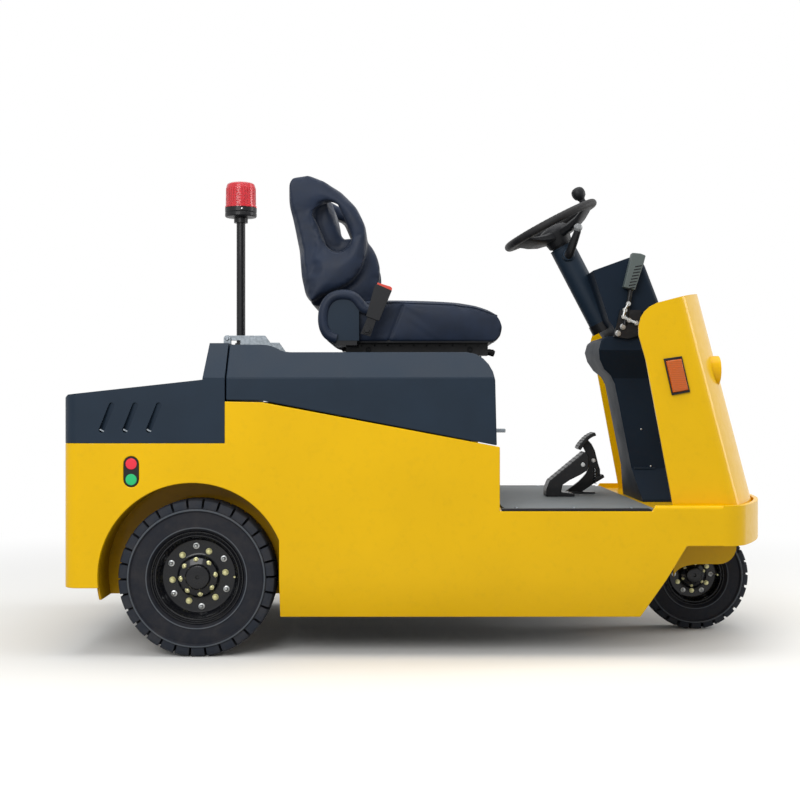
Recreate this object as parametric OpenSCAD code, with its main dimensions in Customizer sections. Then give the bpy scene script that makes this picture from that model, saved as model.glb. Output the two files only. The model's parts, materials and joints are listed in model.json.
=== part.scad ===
/* [Body] */
// Overall width over the side panels
body_w = 1000; // [900:10:1100]
// Thickness of the side panels
panel_t = 16; // [10:1:24]
// Rear face of the body, measured back from the middle of the tug
body_rear = 922; // [900:2:940]
// Height of the bottom edge of the side skirts
skirt_z = 104; // [90:2:120]
// Height of the crease where the skirts begin to slope inward
crease_z = 206; // [190:2:220]
// Inward slope of the skirts at their bottom edge
skirt_in = 34; // [15:1:45]
// Height of the underside of the nose and of the rear corners
nose_z = 294; // [280:2:310]
// Height of the bottom edge of the rear corners
rear_z = 184; // [170:2:200]
// Top edge of the side panels beside the rear cover
sill_z = 563; // [540:1:580]
// Top edge of the side panels behind the seat
shoulder_z = 672; // [650:1:690]
// Top edge of the side panels at the front end of the hood
sill_front_z = 553; // [530:1:570]
// Radius of the rear wheel arches
arch_r = 247; // [240:1:256]
// Radius of the rear corners seen from above
corner_r = 40; // [20:2:60]

/* [Deck and nose] */
// Height of the footwell deck
deck_z = 385; // [375:1:395]
// Thickness of the deck plate
deck_t = 10; // [6:1:14]
// Front tip of the nose, measured from the middle of the tug
nose_tip = 995; // [985:1:1010]
// Plan radius of the bowed nose
nose_r = 934; // [880:2:990]
// Thickness of the bowed front plate
nose_t = 12; // [8:1:13]
// Thickness of the rubber floor mat
mat_t = 6; // [4:1:9]

/* [Rear cover and hood] */
// Seam between the rear cover and the hood
seam_x = -498; // [-506:1:-492]
// Wall of the moulded covers
cover_t = 6; // [4:1:9]
// Height of the crease where the covers turn inward
shoulder_crease = 734; // [725:1:745]
// Top of the ridge and of the hump behind the seat
ridge_z = 828; // [820:1:838]
// Flat top of the hood under the seat
hood_z = 803; // [797:1:810]
// Front face of the hood
hood_front = 213; // [200:1:222]
// Inward lean of the covers between their crease and their top
cover_in = 80; // [60:1:100]
// Number of louvres on each side of the rear cover
louvres = 3; // [1:1:4]
// Height of the hood hinge axis
hinge_z = 849; // [847:0.5:852]

/* [Shield and column] */
// Distance of the shield's wings from the sides of the body
shield_in = 50; // [40:2:70]
// Sheet thickness of the shield
shield_t = 8; // [5:1:12]
// Height of the shield's top edge at its bends
shield_top = 951; // [930:1:980]
// Radius of the bends between the shield's face and its wings
shield_bend = 50; // [20:2:60]
// Width of the foot of the lower column cover
column_w = 340; // [280:5:380]
// Diameter of the tilted column tube
tube_d = 74; // [66:1:80]
// Tilt of the steering column from upright
column_tilt = 27.5; // [24:0.1:30]
// Height of the middle of the steering wheel
wheel_z = 1197.5; // [1180:0.5:1215]
// Distance of the middle of the steering wheel from the middle of the tug
wheel_x = 409; // [400:1:418]
// Outer diameter of the steering wheel
wheel_d = 304; // [280:2:330]

/* [Seat] */
// Width of the seat
seat_w = 480; // [440:5:520]
// Height of the seat rails above the hood
rail_h = 37; // [30:1:42]
// Thickness of the seat cushion
cushion_t = 104; // [95:1:112]

/* [Rear wheels] */
// Distance of the rear axle from the middle of the tug, to the rear
axle_back = 575; // [570:1:580]
// Outer diameter of the rear tyres over the tread
tyre_d = 415; // [405:1:420]
// Width of the rear tyres
tyre_w = 110; // [100:1:116]
// Diameter of the rear rim flange
rim_d = 246; // [236:1:254]
// Distance of each rear tyre's middle plane from the side of the body
tyre_in = 72; // [70:1:76]
// Number of tread blocks on each shoulder of a rear tyre
lugs = 30; // [20:1:36]
// Depth of the slots between the tread blocks
lug_h = 22; // [14:1:26]
// Width of the slots between the tread blocks
slot_w = 6.5; // [4:0.5:9]

/* [Front wheel] */
// Distance of the steering axis from the middle of the tug, to the front
steer_x = 831; // [826:1:836]
// Outer diameter of the front tyre over the tread
front_d = 317; // [300:1:320]
// Width of the front tyre
front_w = 90; // [80:1:96]
// Number of tread blocks on each shoulder of the front tyre
front_lugs = 26; // [18:1:30]

/* [Beacon] */
// Height of the top of the beacon lens
beacon_z = 1373; // [1340:1:1400]
// Diameter of the beacon pole
pole_d = 28; // [24:1:32]
// Distance of the pole from the left side of the body
pole_in = 200; // [180:1:206]

/* [Coupler] */
// Height of the middle of the drawbar jaw
jaw_z = 330; // [310:2:350]
// Opening of the drawbar jaw between its plates
jaw_gap = 50; // [40:1:60]
// Diameter of the coupler pin
pin_d = 26; // [20:1:30]
// Reach of the jaw behind the rear plate
jaw_reach = 73; // [66:1:80]

/* [Hidden] */
yellow = "#e8b900";
anthracite = "#2b3540";
black = "#1c1d1f";
zinc = "#b9bdc0";
rubber = "#2c2e33";

// Seating gap between the pieces of one body
seat_gap = 0.3;
half_w = body_w / 2;
inner_w = half_w - panel_t;
arch_x = -axle_back - 8;
arch_z = 212;
axle_z = tyre_d / 2;
leg_x = arch_x + 227;
nose_start = 594;
nose_rise = 710;
nose_cx = nose_tip - nose_r;
nose_turn = 80;
panel_front = nose_cx + sqrt(pow(nose_r - nose_turn, 2) - pow(half_w - nose_turn, 2));
nose_lip = 15;
lip_start = 628;
deck_rear = hood_front + 8;
well_inner = inner_w - 124;
well_t = 6;
well_z = 152;
front_z = front_d / 2;
front_rim = 176;
rake = 14.71;
bend_z = deck_z + 13;
shield_foot = deck_z + seat_gap;
pan_z = 122;
pan_t = 8;
hinge_x = seam_x - 28;
hinge_y = half_w - 280;
hinge_d = 10;
track_y = half_w - tyre_in;
shield_w = half_w - shield_in;
bend_x = nose_cx + sqrt(pow(nose_r - nose_t, 2) - shield_w * shield_w) - 13.7;
shield_bow = nose_tip - nose_t - 6 - bend_x;
mat_top = deck_z + seat_gap + mat_t;
louvre_x = -799;
louvre_pitch = 61.5;
switch_x = -742;
switch_low = 468;
switch_high = 509;
lamp_y = shield_w - 150;
lamp_z = 758;
lamp_d = 80;
tail_y = inner_w - 84;
tail_z = 470;
tail_d = 80;
pod_z = 860;
pole_x = -550;
pole_y = half_w - pole_in;
seat_z = hood_z + rail_h + 2 * seat_gap;
back_z = seat_z + cushion_t + seat_gap;
restraint_y = seat_w / 2 + 6;
restraint_t = 28;

// Inward lean of the side skirts at height z
function lean(z) = skirt_in * (crease_z - z) / (crease_z - skirt_z);

// Outline of a flat bar of width w along the given points
function ribbon(p, w) =
    let (
        n = len(p) - 1,
        side = [for (i = [0 : n])
            let (v = p[min(i + 1, n)] - p[max(i - 1, 0)]) w / 2 / norm(v) * [-v[1], v[0]]]
    )
    concat([for (i = [0 : n]) p[i] + side[i]], [for (i = [n : -1 : 0]) p[i] - side[i]]);

// Outline of an oblong of width w round the line from a to b, with round ends
function oblong(a, b, w) =
    let (t = atan2(b[1] - a[1], b[0] - a[0]))
    concat(
        [for (i = [-4 : 4]) b + w / 2 * [cos(t + i * 22.5), sin(t + i * 22.5)]],
        [for (i = [-4 : 4]) a - w / 2 * [cos(t + i * 22.5), sin(t + i * 22.5)]]
    );

// A side outline in X and Z, given the width w across the tug
module slab(points, w) {
    translate([0, w / 2, 0])
        rotate([90, 0, 0])
            linear_extrude(w)
                polygon(points);
}

// A round bar from point a to point b
module rod(a, b, d) {
    v = b - a;
    translate(a)
        rotate([0, acos(v[2] / norm(v)), atan2(v[1], v[0])])
            cylinder(h = norm(v), d = d, $fn = 32);
}

// A tube lying along Y, centred on the origin
module across(w, d) {
    rotate([90, 0, 0])
        cylinder(h = w, d = d, center = true, $fn = 48);
}

module mirrored(side) {
    if (side > 0) {
        children();
    } else {
        mirror([0, 1, 0])
            children();
    }
}

// Outline of a side panel seen from the side, with its wheel arch
module panel_outline() {
    difference() {
        polygon([
            [-body_rear, rear_z],
            [arch_x - 245, rear_z],
            [arch_x - 245, arch_z],
            [leg_x, arch_z],
            [leg_x, skirt_z],
            [nose_start, skirt_z],
            [nose_rise, nose_z],
            [panel_front, nose_z],
            [panel_front, deck_z + nose_lip],
            [lip_start, deck_z + nose_lip],
            [lip_start - 8, deck_z],
            [deck_rear, deck_z],
            [deck_rear, sill_front_z],
            [seam_x + 98, shoulder_z - 2],
            [seam_x, shoulder_z],
            [seam_x, sill_z],
            [-body_rear, sill_z]
        ]);
        intersection() {
            translate([arch_x, arch_z])
                circle(r = arch_r, $fn = 96);
            translate([leg_x - 2 * arch_r, arch_z - arch_r])
                square(2 * arch_r);
        }
    }
}

// Points on an arc of radius r round c, from angle a to angle b in n steps
function arc(c, r, a, b, n) = [for (i = [0 : n]) let (t = a + (b - a) * i / n) c + r * [cos(t), sin(t)]];

// Plan outline of the body with its round rear corners, moved inward by t
function rear_plan(t) = concat(
    arc([-body_rear + corner_r, half_w - corner_r], corner_r - t, 180, 90, 9),
    [[body_rear, half_w - t], [body_rear, t - half_w]],
    arc([-body_rear + corner_r, corner_r - half_w], corner_r - t, 270, 180, 9)
);

// Plan outline of a side panel's rear corner with its short return along the rear face
function post_plan(wrap) =
    let (c = [-body_rear + corner_r, half_w - corner_r])
    concat(
        arc(c, corner_r, 90, 180, 9),
        [[-body_rear, half_w - wrap], [-body_rear + panel_t, half_w - wrap]],
        arc(c, corner_r - panel_t, 180, 90, 9)
    );

// Section of a side panel, upright above the crease and leaning in below it
module panel_section() {
    polygon([
        [half_w - skirt_in, skirt_z],
        [half_w, crease_z],
        [half_w, shoulder_z + 1],
        [inner_w, shoulder_z + 1],
        [inner_w, crease_z],
        [inner_w - skirt_in, skirt_z]
    ]);
}

module side_panel(side) {
    color(yellow)
        mirrored(side)
            difference() {
                intersection() {
                    translate([0, half_w + 5, 0])
                        rotate([90, 0, 0])
                            linear_extrude(200)
                                panel_outline();
                    union() {
                        translate([leg_x, 0, 0])
                            rotate([90, 0, 90])
                                linear_extrude(panel_front + 10 - leg_x)
                                    panel_section();
                        translate([-body_rear + corner_r, inner_w, rear_z - 10])
                            cube([leg_x + body_rear - corner_r, panel_t, shoulder_z + 11 - rear_z]);
                        translate([0, 0, rear_z - 10])
                            linear_extrude(shoulder_z + 11 - rear_z)
                                polygon(post_plan(corner_r + 12));
                    }
                }
                if (side < 0)
                    switch_shape(40 + 2 * seat_gap, 3 * panel_t);
            }
}

// Oblong block of width w standing through the panel, on the left side before it is mirrored
module switch_shape(w, t) {
    translate([0, half_w + t / 2, 0])
        rotate([90, 0, 0])
            linear_extrude(t)
                polygon(oblong([switch_x, switch_low], [switch_x, switch_high], w));
}

module rear_plate() {
    w = half_w - corner_r - 12 - seat_gap;
    color(yellow)
        difference() {
            translate([-body_rear, -w, rear_z])
                cube([12, 2 * w, sill_z - rear_z]);
            for (s = [-1, 1])
                translate([-body_rear - 1, s * tail_y, tail_z])
                    rotate([0, 90, 0])
                        cylinder(h = 20, d = tail_d, $fn = 48);
        }
}

// Half round liner inside a wheel arch with its upright inner wall
module wheel_well(side) {
    color("#a98700")
        mirrored(side)
            intersection() {
                difference() {
                    translate([arch_x, (inner_w - seat_gap + well_inner) / 2, arch_z])
                        across(inner_w - seat_gap - well_inner, 2 * (arch_r + well_t));
                    translate([arch_x, (inner_w + well_inner) / 2 + well_t, arch_z])
                        across(inner_w - well_inner, 2 * arch_r);
                    translate([-axle_back, well_inner, axle_z])
                        across(40, 120);
                }
                translate([-body_rear + panel_t + 1, well_inner - 1, well_z])
                    cube([leg_x + body_rear - panel_t - 1, inner_w, 2 * arch_r]);
            }
}

module deck() {
    beam_y = inner_w - 184;
    color(yellow)
        difference() {
            intersection() {
                translate([deck_rear, -inner_w + seat_gap, deck_z - deck_t])
                    cube([nose_tip - deck_rear, 2 * (inner_w - seat_gap), deck_t]);
                translate([0, 0, deck_z - 2 * deck_t])
                    linear_extrude(3 * deck_t)
                        polygon(concat([[0, -half_w]], nose_path(nose_t + seat_gap), [[0, half_w]]));
            }
            translate([steer_x, 0, deck_z - deck_t - 1])
                cylinder(h = deck_t + 2, d = 102, $fn = 48);
        }
    color(yellow)
        for (s = [-1, 1])
            translate([deck_rear + 10, s * beam_y - 20, deck_z - deck_t - 40])
                cube([nose_start - deck_rear - 10, 40, 40]);
}

// Plan outline of the bowed nose and its round corners, moved inward by t
function nose_path(t) =
    let (
        yc = half_w - nose_turn,
        a = atan2(yc, panel_front - nose_cx)
    )
    concat(
        arc([panel_front, -yc], nose_turn - t, -90, -a, 10),
        arc([nose_cx, 0], nose_r - t, -a, a, 28),
        arc([panel_front, yc], nose_turn - t, a, 90, 10)
    );

// Bowed front plate that wraps round both corners to the side panels
module nose() {
    color(yellow)
        difference() {
            translate([0, 0, nose_z])
                linear_extrude(deck_z + nose_lip - nose_z)
                    polygon(concat(nose_path(0), backward(nose_path(nose_t))));
            translate([0, -body_w, 0])
                cube([panel_front + seat_gap, 2 * body_w, 1000]);
        }
}

// Folded pan closing the underside between the skirts
module belly_pan() {
    pan_w = 2 * (inner_w - lean(pan_z) - seat_gap);
    color(black)
        slab([
            [leg_x + 4, pan_z + pan_t],
            [leg_x + 4, pan_z],
            [nose_start - 10, pan_z],
            [nose_rise - 22, nose_z + 10],
            [nose_rise - 22, nose_z + 20],
            [nose_start - 14, pan_z + pan_t]
        ], pan_w);
}

// Steering bearing under the deck with the two guard plates beside the wheel
module steer_housing() {
    top = deck_z - deck_t - seat_gap;
    color("#b08c00")
        difference() {
            union() {
                translate([steer_x, 0, 340])
                    cylinder(h = top - 340, d = 130, $fn = 64);
                translate([steer_x - 90, -262, top - 14])
                    cube([180, 524, 14]);
            }
            translate([steer_x, 0, 300])
                cylinder(h = 200, d = 70.6, $fn = 64);
        }
    color("#b08c00")
        for (s = [-1, 1])
            translate([0, s * 250 + 5, 0])
                rotate([90, 0, 0])
                    linear_extrude(10)
                        guard_outline(top - 14);
}

// Guard plate beside the steered wheel, curved down to a tail at its rear
module guard_outline(top) {
    difference() {
        polygon(concat(
            [[steer_x + 69, top], [steer_x - 107, top], [steer_x - 107, 182]],
            [for (i = [1 : 6]) [steer_x - 107 + 70 * (1 - cos(i * 15)), 182 + 36 * sin(i * 15)]],
            [for (i = [0 : 6]) [steer_x + 19 + 50 * sin(i * 15), 268 - 50 * cos(i * 15)]]
        ));
        translate([steer_x, 340])
            circle(d = 40, $fn = 32);
    }
}

module floor_mat() {
    mat_rear = deck_rear + 12;
    mat_front = bend_x - 224;
    color(black)
        translate([mat_rear, -inner_w + 8, deck_z + seat_gap])
            cube([mat_front - mat_rear, 2 * (inner_w - 8), mat_t]);
}

// Section shared by the moulded covers, upright to the crease and leaning in above
module cover_section(inset) {
    h = half_w - inset;
    polygon([
        [-h, 400],
        [h, 400],
        [h, shoulder_crease],
        [h - cover_in, ridge_z - inset + 0.01],
        [cover_in - h, ridge_z - inset + 0.01],
        [-h, shoulder_crease]
    ]);
}

module cover_sweep(inset) {
    translate([-body_rear - 5, 0, 0])
        rotate([90, 0, 90])
            linear_extrude(1300)
                cover_section(inset);
}

module rear_cover() {
    t = cover_t;
    foot = sill_z + seat_gap;
    color(anthracite)
        difference() {
            union() {
                difference() {
                    intersection() {
                        slab(cover_outline(0, foot), body_w);
                        cover_sweep(0);
                        translate([0, 0, foot])
                            linear_extrude(400)
                                polygon(rear_plan(0));
                    }
                    intersection() {
                        slab(cover_outline(t, foot - 1), body_w);
                        cover_sweep(t);
                        translate([0, 0, foot - 1])
                            linear_extrude(400)
                                polygon(rear_plan(t));
                    }
                }
                for (s = [-1, 1])
                    translate([louvre_x - 30, s * (half_w - 13) - 10, 585])
                        cube([(louvres - 1) * louvre_pitch + 60, 20, 90]);
            }
            for (s = [-1, 1])
                for (i = [0 : louvres - 1])
                    louvre_scoop(louvre_x + i * louvre_pitch, s);
        }
}

// Side outline of the rear cover, moved inward by t
function cover_outline(t, foot) = [
    [-body_rear + t, foot],
    [seam_x - t, foot],
    [seam_x - t, ridge_z - t],
    [seam_x - 50 + t, ridge_z - t],
    [seam_x - 58 + t, 729 - t],
    [-body_rear + 12 + t / 3, 690 - t],
    [-body_rear + t, 680 - t]
];

// Slanted scoop with round ends, deepest along its rear edge
module louvre_scoop(x, s) {
    y = s * half_w;
    intersection() {
        translate([0, y + 20, 0])
            rotate([90, 0, 0])
                linear_extrude(40)
                    polygon(oblong([x - 20, 598], [x + 6, 662], 15));
        translate([0, 0, 580])
            linear_extrude(100)
                polygon([[x - 32, y - s * 15], [x - 32, y + s], [x + 16, y + s], [x + 16, y - s]]);
    }
}

// Raked frame of the shield: x forward of the bend line, z up the slope
module shield_frame() {
    translate([bend_x, 0, bend_z])
        rotate([0, -rake, 0])
            children();
}

// Plan outline of the shield moved inward by t, from one wing round the face to the other
function shield_path(t) =
    let (
        bow = shield_bow * cos(rake),
        r = (shield_w * shield_w + bow * bow) / (2 * bow),
        yc = shield_w - shield_bend,
        reach = sqrt(pow(r - shield_bend, 2) - yc * yc),
        xc = bow - r + reach,
        a = atan2(yc, reach)
    )
    concat(
        [[-420, t - shield_w]],
        arc([xc, -yc], shield_bend - t, -90, -a, 6),
        arc([bow - r, 0], r - t, -a, a, 24),
        arc([xc, yc], shield_bend - t, a, 90, 6),
        [[-420, shield_w - t]]
    );

function backward(points) = [for (i = [len(points) - 1 : -1 : 0]) points[i]];

// Bowed sheet with both wings in one piece, cut to its side outline
module shield() {
    top = shield_top - 3;
    color(yellow)
        difference() {
            intersection() {
                shield_frame()
                    translate([0, 0, -150])
                        linear_extrude(150 + (shield_top - bend_z) / cos(rake))
                            polygon(concat(shield_path(0), backward(shield_path(shield_t))));
                slab([
                    [bend_x - 167, shield_foot],
                    [bend_x + 200, shield_foot],
                    [bend_x + 200, top + 150],
                    [bend_x - 212, top + 150],
                    [bend_x - 212, top - 15],
                    [bend_x - 230, top - 24],
                    [bend_x - 244, top - 37],
                    [bend_x - 254, top - 53],
                    [bend_x - 260, top - 76],
                    [bend_x - 260, top - 100],
                    [bend_x - 241, top - 166]
                ], body_w);
            }
            for (s = [-1, 1])
                translate([bend_x - 152, s * lamp_y, lamp_z])
                    rotate([0, 90, 0])
                        cylinder(h = 300, d = lamp_d + 2 * seat_gap, $fn = 64);
        }
}

module headlamps() {
    color(black)
        for (s = [-1, 1])
            translate([bend_x - 46, s * lamp_y, lamp_z])
                rotate([0, 90, 0])
                    cylinder(h = 40, d = lamp_d, $fn = 64);
}

module turn_signals() {
    x = bend_x - 195;
    color("#ff9d1e")
        for (s = [-1, 1])
            translate([0, s * (shield_w + seat_gap + 6), 0])
                slab([[x, 785], [x + 48, 792], [x + 70, 697], [x + 22, 688]], 12);
}

module tail_lamps() {
    color("#b01515")
        for (s = [-1, 1])
            translate([-body_rear - 6, s * tail_y, tail_z])
                rotate([0, 90, 0])
                    cylinder(h = 30, d = tail_d - 2 * seat_gap, $fn = 48);
}

// Slim cover that flares out to a wide foot and to a collar under the pod
module column_cover() {
    x = bend_x - 188;
    z = deck_z + seat_gap;
    foot_w = column_w / 2;
    slim_w = foot_w - 74;
    collar_w = foot_w - 20;
    color(anthracite)
        intersection() {
            slab([
                [x - 10, z],
                [x + 136, z],
                [x + 38, pod_z],
                [x - 119, pod_z],
                [x - 138, pod_z - 12],
                [x - 146, pod_z - 38],
                [x - 140, pod_z - 66],
                [x - 121, pod_z - 94],
                [x - 96, pod_z - 112],
                [x - 81, pod_z - 136],
                [x - 30, deck_z + 95]
            ], column_w);
            rotate([90, 0, 90])
                linear_extrude(nose_tip)
                    polygon([
                        [-foot_w, z],
                        [foot_w, z],
                        [foot_w, z + 7],
                        [slim_w, z + 92],
                        [slim_w, pod_z - 120],
                        [slim_w + 18, pod_z - 92],
                        [collar_w, pod_z - 40],
                        [collar_w, pod_z],
                        [-collar_w, pod_z],
                        [-collar_w, pod_z - 40],
                        [-slim_w - 18, pod_z - 92],
                        [-slim_w, pod_z - 120],
                        [-slim_w, z + 92],
                        [-foot_w, z + 7]
                    ]);
        }
}

// Frame of the tilted steering column, z up along its axis from the wheel's middle
module column_frame() {
    translate([wheel_x, 0, wheel_z])
        rotate([0, -column_tilt, 0])
            children();
}

module column_tube() {
    color(anthracite)
        difference() {
            column_frame()
                translate([0, 0, -350])
                    cylinder(h = 274, d = tube_d, $fn = 64);
            column_frame()
                translate([0, 0, -110])
                    cylinder(h = 100, d = 30 + 2 * seat_gap, $fn = 48);
        }
}

module dash_pod() {
    color(anthracite)
        difference() {
            slab([
                [514, 1048],
                [632, 1091],
                [652, 1086],
                [675, 1063],
                [714, 961],
                [690, pod_z + seat_gap],
                [592, pod_z + seat_gap],
                [560, 905]
            ], column_w - 40);
            column_frame()
                translate([0, 0, -351])
                    cylinder(h = 340, d = tube_d + 2 * seat_gap, $fn = 64);
        }
}

// Grip and rod of the parking brake with its bracket on the side of the pod
module brake_lever() {
    side = column_w / 2 - 20 + seat_gap;
    y = -side - 17;
    color(black) {
        rod([602, y, 896], [620, y, 1000], 12);
        translate([0, y, 0])
            slab([
                [597, 998],
                [629, 989],
                [653, 1062],
                [660, 1088],
                [645, 1094],
                [621, 1096]
            ], 32);
    }
    color(zinc)
        translate([0, -side - 7, 0])
            slab([[594, 864], [650, 864], [646, 934], [588, 934]], 14);
}

module direction_lever() {
    boss = tube_d / 2 + seat_gap;
    color(black) {
        column_frame()
            translate([-17, -boss - 26, -136])
                cube([34, 26, 44]);
        rod([458, -boss - 14, 1106], [479.5, -83.5, 1172], 22);
        translate([480, -84, 1180])
            sphere(d = 26, $fn = 32);
    }
}

module accelerator() {
    z = mat_top + seat_gap;
    color(black)
        slab([
            [392, z],
            [476, z],
            [476, z + 8],
            [432, z + 14],
            [526, 508],
            [519, 522],
            [508, 526],
            [400, 438],
            [392, z + 22]
        ], 84);
}

module brake_pedal() {
    z = mat_top + seat_gap;
    color(black)
        translate([0, 120, 0]) {
            slab(ribbon([[480, 531], [500, 543], [518, 558], [533, 572], [544, 586]], 11), 80);
            slab(ribbon([[512, 553], [536, 530], [550, 498], [551, 462], [540, 430], [524, z + 16], [524, z]], 17), 16);
            slab(ribbon([[534, 424], [584, 447]], 8), 50);
            translate([476, -30, z])
                cube([84, 60, 6]);
        }
}

// Oblong push button station let into the right panel
module inching_switch() {
    depth = 34;
    color(black)
        mirrored(-1)
            intersection() {
                switch_shape(40, 2 * depth);
                translate([-body_rear, half_w - depth, 0])
                    cube([body_rear, depth - 1, sill_z]);
            }
}

module beacon_pole() {
    x = pole_x;
    foot = ridge_z + seat_gap;
    color(black) {
        translate([x - 30, pole_y - 30, foot])
            cube([80, 60, 5]);
        translate([x, pole_y, foot + 4])
            cylinder(h = beacon_z - 128 - foot - 4, d = pole_d, $fn = 32);
        translate([x, pole_y, beacon_z - 128])
            cylinder(h = 18, d = 44, $fn = 48);
        translate([x, pole_y, beacon_z - 110])
            cylinder(h = 30, d = 101, $fn = 64);
    }
}

module beacon() {
    color("#c81e1e")
        translate([pole_x, pole_y, beacon_z - 80 + seat_gap])
            rotate_extrude($fn = 64)
                difference() {
                    translate([-50.5, 0])
                        square([101, 80 - seat_gap]);
                    translate([-60, -1])
                        square([60, 90]);
                }
}

// Forked drawbar jaw behind the rear plate
module tow_coupler() {
    back = body_rear;
    plate_t = 14;
    color(black)
        difference() {
            union() {
                translate([-back - 12, -90, jaw_z - 90])
                    cube([12 - seat_gap, 180, 180]);
                for (s = [-1, 1])
                    translate([0, 0, jaw_z + s * (jaw_gap + plate_t) / 2 - plate_t / 2])
                        jaw_plate(plate_t);
                for (s = [-1, 1])
                    translate([-back - 12, s * 55 - 6, jaw_z - 60])
                        cube([11, 12, 120]);
            }
            translate([-back - 46, 0, jaw_z - 100])
                cylinder(h = 200, d = pin_d + 0.6, $fn = 48);
        }
}

// Plate with a round end, reaching back from the mounting plate
module jaw_plate(t) {
    r = 35;
    translate([-body_rear - jaw_reach + r, 0, 0])
        cylinder(h = t, r = r, $fn = 64);
    translate([-body_rear - jaw_reach + r, -r, 0])
        cube([jaw_reach - r - 1, 2 * r, t]);
}

module tow_pin() {
    x = -body_rear - 46;
    color(zinc) {
        translate([x, 0, jaw_z - 50])
            cylinder(h = 130, d = pin_d, $fn = 48);
        translate([x, 0, jaw_z + 39.3])
            cylinder(h = 6, d = 44, $fn = 48);
        translate([x, 0, jaw_z + 80])
            rotate([0, 90, 0])
                rotate_extrude($fn = 48)
                    translate([22, 0])
                        circle(d = 8, $fn = 24);
    }
}

module rear_axle() {
    carrier = well_inner - seat_gap;
    color(black)
        translate([-axle_back, 0, axle_z]) {
            across(2 * (track_y - 60), 84);
            across(2 * (track_y + 20), 38);
            across(150, 210);
            for (s = [-1, 1])
                translate([-30, s * 250 - 20, 20])
                    cube([60, 40, 130]);
        }
    color(yellow)
        translate([-axle_back - 200, -carrier, axle_z + 150])
            cube([400, 2 * carrier, 12]);
}

module drive_motor() {
    color(black)
        translate([-axle_back + 105 + seat_gap, 0, axle_z])
            rotate([0, 90, 0])
                cylinder(h = 110, d = 150, $fn = 64);
}

module battery() {
    w = inner_w - 134;
    color("#3a3d42")
        translate([leg_x + 31, -w, pan_z + pan_t + seat_gap])
            cube([480, 2 * w, 490]);
}

// Seat base cover, open below and at its rear corner
module hood() {
    t = cover_t;
    g = 4;
    front = hood_front;
    color(anthracite)
        difference() {
            intersection() {
                slab([
                    [seam_x + g, shoulder_z + g],
                    [-400, shoulder_z - 2 + g],
                    [front, sill_front_z + g],
                    [front - 4, hood_z - 76],
                    [front - 9, hood_z - 53],
                    [front - 19, hood_z - 33],
                    [front - 33, hood_z - 17],
                    [front - 52, hood_z - 5],
                    [front - 76, hood_z],
                    [-332, hood_z],
                    [-346, hood_z + 1.5],
                    [-358, hood_z + 5],
                    [-371, ridge_z - 13],
                    [-384, ridge_z - 8],
                    [-396, ridge_z - 5],
                    [-410, ridge_z - 4],
                    [seam_x + g, ridge_z - 4]
                ], body_w);
                cover_sweep(0);
            }
            intersection() {
                slab([
                    [seam_x + g + t, 500],
                    [front - t, 500],
                    [front - 4 - t, hood_z - 78],
                    [front - 9 - t, hood_z - 56],
                    [front - 24 - t, hood_z - 31],
                    [front - 52, hood_z - 6 - t],
                    [front - 78, hood_z - t],
                    [-346 - t, hood_z - t],
                    [-410 - t, ridge_z - 4 - t],
                    [seam_x + g + t, ridge_z - 4 - t]
                ], body_w);
                cover_sweep(t);
            }
        }
}

// Flat arms on the hump, bored for the hinge pins at their rear ends
module hinge_arms() {
    foot = ridge_z - 4 + seat_gap;
    color(zinc)
        for (s = [-1, 1])
            translate([0, s * hinge_y, 0]) {
                difference() {
                    union() {
                        translate([hinge_x, 0, hinge_z])
                            across(6, 18);
                        slab([
                            [hinge_x, hinge_z - 5],
                            [seam_x + 8, hinge_z - 5],
                            [seam_x + 8, foot],
                            [-406, foot],
                            [-400, foot + 6],
                            [-420, hinge_z + 9],
                            [hinge_x, hinge_z + 9]
                        ], 6);
                    }
                    translate([hinge_x, 0, hinge_z])
                        across(20, hinge_d + 2 * seat_gap);
                }
                translate([seam_x + 8, -18, foot])
                    cube([88, 36, 4]);
            }
}

// Pairs of ears on the ridge with the hinge pins through them
module hinge_brackets() {
    foot = ridge_z + seat_gap;
    color(zinc)
        for (s = [-1, 1])
            translate([0, s * hinge_y, 0]) {
                for (e = [-1, 1])
                    translate([0, e * 7, 0]) {
                        translate([hinge_x, 0, hinge_z])
                            across(4, 20);
                        translate([hinge_x - 10, -2, foot])
                            cube([20, 4, hinge_z - foot]);
                    }
                translate([hinge_x, 0, hinge_z])
                    across(26, hinge_d);
            }
}

module hood_latch() {
    color(zinc)
        translate([hood_front - 0.4, 90 - half_w, sill_front_z + 36])
            cube([30, 30, 10]);
}

module seat_rails() {
    z = hood_z + seat_gap;
    color(black) {
        for (s = [-1, 1])
            translate([-194, s * 150 - 20, z])
                cube([405, 40, rail_h]);
        translate([190, -150, z + 10])
            cube([12, 300, 10]);
        translate([200, -130, z + 11])
            cube([30, 60, 8]);
    }
}

module seat_cushion() {
    z = seat_z;
    top = z + cushion_t;
    color(black)
        slab([
            [-250, z],
            [222, z],
            [236, z + 14],
            [241, z + 40],
            [235, z + 58],
            [222, z + 74],
            [198, z + 86],
            [154, z + 98],
            [87, top],
            [-60, top + 4],
            [-150, top],
            [-240, top]
        ], seat_w);
}

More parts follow.
